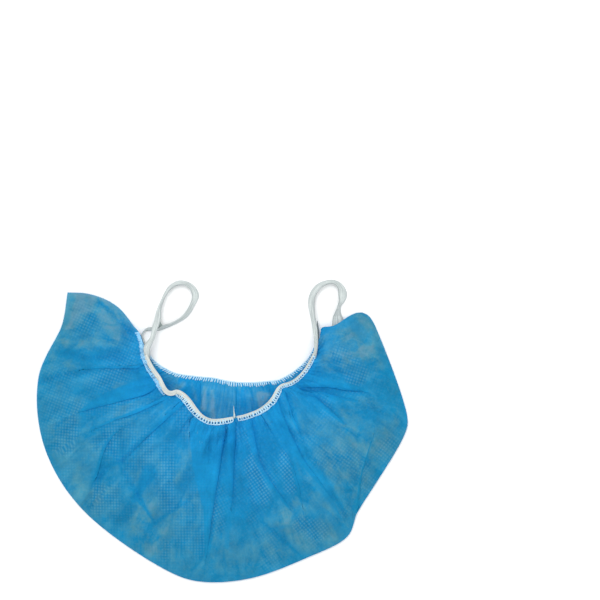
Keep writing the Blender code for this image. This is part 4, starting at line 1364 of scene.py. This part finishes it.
LEFT_START = float(cloth_at(0.055, 0.0)[0, 2]) - LOOP_SINK
RIGHT_START = float(cloth_at(0.935, 0.0)[0, 2]) - LOOP_SINK
LEFT_KNIT = elastic_material("left_knit", LOOP_COLOURS, half=0.0021)
RIGHT_KNIT = elastic_material("right_knit", LOOP_COLOURS, half=0.0024)
left_band, left_path = ear_loop("left_loop_band", LEFT_LOOP, LEFT_START, 0.0017, LEFT_KNIT)
right_band, right_path = ear_loop("right_loop_band", RIGHT_LOOP, RIGHT_START, 0.0012, RIGHT_KNIT)


def crossing_shade_sheet():
    """Small dark sheet of painted shade in the corner where the left loop crosses itself."""
    size = (POUCH_WIDTH, POUCH_DEPTH)
    corner = np.array((-0.1716, 0.3745)) * size
    free = ((-0.1690, 0.4150), (-0.1672, 0.3990), (-0.1618, 0.3893), (-0.1500, 0.3845))
    free = curve_through(free, 4) * size
    share = np.linspace(0.0, 1.0, 7)[None, :, None]
    plan = free[:, None] * (1.0 - share) + corner * share
    top = np.concatenate((plan, np.full(plan.shape[:2] + (1,), 0.0026)), axis=-1)
    rings = np.concatenate((top, (top - (0.0, 0.0, 0.0009))[:, ::-1]), axis=1)
    faces = closed_strip(*rings.shape[:2], first=0, shift=1)
    knit = elastic_material("crossing_shade_knit", CROSSING_SHADE_COLOURS, half=1.0)
    uv = rings[..., :2].reshape(-1, 2)
    return plain_object("left_loop_shade_sheet", rings, faces, knit, uv, weld=0.00001)


left_shade_sheet = crossing_shade_sheet()


def slit_shade_runs():
    """Dark thread of painted shade along the right loop's inner strand, beside the cloth."""
    plan = ((0.256, 0.402), (0.2572, 0.388), (0.259, 0.37), (0.2592, 0.35), (0.257, 0.326))
    plan = curve_through(np.array(plan) * (POUCH_WIDTH, POUCH_DEPTH), 12)
    steps, last = np.arange(len(plan)), len(plan) - 1
    height = np.interp(steps, (0, last), (0.0026, 0.0056))
    radius = np.interp(steps, (0, 10, last), (0.0002, 0.0005, 0.0006))
    return [(np.concatenate((plan, height[:, None]), axis=1), radius)]


right_slit_shade = threads("right_loop_slit_shade", slit_shade_runs(), thread_material("slit_shade_thread", *SLIT_SHADE_COLOURS))


def smooth_run(points, count=9):
    dense = curve_through(points, 8)
    return at_share(dense, np.linspace(0, 1, count))


def edge_thread(places, lift, radius):
    """Runs of the thread that links neighbouring places."""
    links = zip(places[:-1], places[1:])
    return [(smooth_run([a, 0.5 * (a + b) + UP * lift, b], 5), radius) for a, b in links]


def spaced(span, back, pitch):
    """Shares along a rim at uneven steps of about the pitch."""
    fine = np.linspace(span[0], span[1], 400)
    run = arc_lengths(cloth_at(fine, 0.0, back))
    marks = np.cumsum(random.uniform(0.82, 1.18, int(run[-1] / pitch)) * pitch)
    return np.interp(marks[marks < run[-1]], run, fine)


def front_runs(span, pitch, start, radius, foot, rise=0.0):
    """Comb of the front rim: each stitch comes off the band and enters the cloth."""
    at = spaced(span, False, pitch)
    width = table_value(FRONT_BAND, 1, at)
    reach = table_value(FRONT_BAND, 2, at) * random.uniform(0.9, 1.1, len(at))
    crowd = np.interp(at, np.linspace(0.0, 1.0, 41), random.uniform(0.82, 1.25, 41))
    crowd = crowd + 0.45 * np.clip(1.3 - np.abs(at - 0.645) / 0.045, 0.0, 1.0)
    lean = random.normal(0, STITCH_LEAN, len(at))
    high = BAND_THICKNESS + BAND_GAP + rise
    heads = beside_rim(at, start * width) + UP * high
    overs = beside_rim(at + 0.6 * lean, width) + UP * (high - 0.0002)
    feet = beside_rim(at + lean, width + reach) + UP * (0.0002 + rise)
    runs = []
    for i in range(len(at)):
        if reach[i] < LEAST_REACH:
            continue
        middle = 0.4 * overs[i] + 0.6 * feet[i] + UP * 0.0004
        knots = [heads[i] - UP * 0.0004, heads[i], overs[i], middle, feet[i], feet[i] - UP * 0.0005]
        runs.append((smooth_run(knots), crowd[i] * radius * random.uniform(0.75, 1.25)))
        if i + 1 < len(at) and reach[i + 1] > LEAST_REACH:
            sag = 0.5 * (feet[i] + feet[i + 1]) + (feet[i] - overs[i]) * 0.06
            thick = crowd[i] * foot * random.uniform(0.7, 1.3)
            runs.append((smooth_run([feet[i], sag, feet[i + 1]], 5), thick))
    return runs


def back_runs():
    """Stitches of the back rim: ticks wrapped over its edge and a thread along it."""
    at = spaced((0.050, 0.955), True, 0.00150)
    reach = random.uniform(0.0021, 0.0031, len(at))
    lean = random.normal(0, 0.0014, len(at))
    heads = cloth_at(at, 0.0, True)
    feet = cloth_at(at + lean, reach, True)
    outward = unit(heads - feet)
    tips = heads + outward * 0.0001 + UP * 0.0003
    runs = []
    for head, foot, tip in zip(heads, feet, tips):
        knots = [foot - UP * 0.0004, foot + UP * 0.0003, 0.5 * (foot + head) + UP * 0.0004]
        knots += [tip - outward[0] * 0.0002, tip - UP * 0.0004]
        runs.append((smooth_run(knots), 0.00044 * random.uniform(0.70, 1.2)))
    return runs + edge_thread(tips, 0.0001, 0.00036)


def loose_thread():
    """Short frayed end of sewing thread that sticks out at the front rim."""
    root = cloth_at(0.530, 0.0006)[0]
    runs = []
    for x, length in ((-0.00040, 0.0068), (0.0, 0.0078), (0.00035, 0.0060)):
        knots = [root + (x, -0.0006, 0.0002), root + (x, 0.0008, 0.0007)]
        knots.append(root + (0.6 * x - 0.0002, 0.5 * length, 0.0004))
        knots.append(root + (0.2 * x - 0.0006, length, -0.0012))
        runs.append((smooth_run(knots), np.linspace(0.00034, 0.00010, 9)))
    return runs


def corner_runs():
    """Crowded stitches on the cloth's left end, beside the ear loop."""
    runs, heads = [], []
    for s in np.arange(-0.0110, 0.0082, 0.0005):
        curve = LEFT_CURVE if s > 0 else FRONT_CURVE
        head = read_rows(abs(s), arc_lengths(curve), curve)
        foot = np.array((-0.0025 + 0.28 * min(s, 0.0), -0.0006)) * random.uniform(0.85, 1.1)
        foot = head + foot + random.normal(0, 0.0001, 2)
        plan = head + (foot - head) * np.array((0.10, 0.25, 0.60, 1.0))[:, None]
        heights = cloth_top(plan) + (0.0002, 0.0005, 0.0005, 0.0)
        knots = np.concatenate((plan, heights[:, None]), axis=1)
        if heights.min() > 0:
            runs.append((smooth_run(knots), 0.00032 * random.uniform(0.7, 1.2)))
            heads.append(knots[1])
    return runs + edge_thread(heads, 0.0001, 0.00034)


comb = front_runs((0.215, 0.955), pitch=0.00168, start=0.60, radius=0.00042, foot=0.00038)
front_stitches = threads("front_stitches", comb, WHITE_THREAD)
comb = front_runs(
    (0.034, 0.222), pitch=0.00088, start=0.86, radius=0.00036, foot=0.00046, rise=0.0003
)
edge_stitches = threads("edge_stitches", comb + corner_runs(), PALE_THREAD)
loose_end = threads("loose_end", loose_thread(), CREAM_THREAD)
back_stitches = threads("back_stitches", back_runs(), WHITE_THREAD)

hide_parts("pouch")
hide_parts("front_elastic")
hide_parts("back_elastic")
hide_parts("left_ear_loop")
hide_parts("right_ear_loop")

# Floor, light and camera
floor_mesh = bpy.data.meshes.new("floor")
floor_corners = [(-3, -3, 0), (3, -3, 0), (3, 3, 0), (-3, 3, 0)]
floor_mesh.from_pydata(floor_corners, [], [(0, 1, 2, 3)])
floor_mesh.materials.append(floor_material())
floor = bpy.data.objects.new("floor", floor_mesh)
bpy.context.scene.collection.objects.link(floor)

world = bpy.data.worlds.new("studio")
world.use_nodes = True
world.node_tree.nodes["Background"].inputs[0].default_value = (0.97, 0.99, 1.0, 1.0)
world.node_tree.nodes["Background"].inputs[1].default_value = 1.02
bpy.context.scene.world = world


def area_light(name, energy, size, place):
    """Square light that points at the pouch's middle."""
    light = bpy.data.lights.new(name, "AREA")
    light.energy = energy
    light.size = size
    made = bpy.data.objects.new(name, light)
    made.location = place
    made.rotation_euler = (-Vector(place)).to_track_quat("-Z", "Y").to_euler()
    bpy.context.scene.collection.objects.link(made)


area_light("key", energy=14.0, size=1.2, place=(-0.50, 1.00, 1.70))
area_light("fill", energy=3.0, size=1.6, place=(0.9, -0.6, 1.3))

SENSOR = 36.0
VIEW_WIDTH = 0.408
CAMERA_PLACE = (0.052836, 0.093364, 2.5)
camera_data = bpy.data.cameras.new("camera")
camera_data.sensor_width = SENSOR
camera_data.lens = SENSOR * CAMERA_PLACE[2] / VIEW_WIDTH
camera_data.clip_start = 0.1
camera_data.clip_end = 20.0
camera = bpy.data.objects.new("camera", camera_data)
camera.location = CAMERA_PLACE
bpy.context.scene.collection.objects.link(camera)
bpy.context.scene.camera = camera
bpy.context.scene.view_settings.view_transform = "Standard"
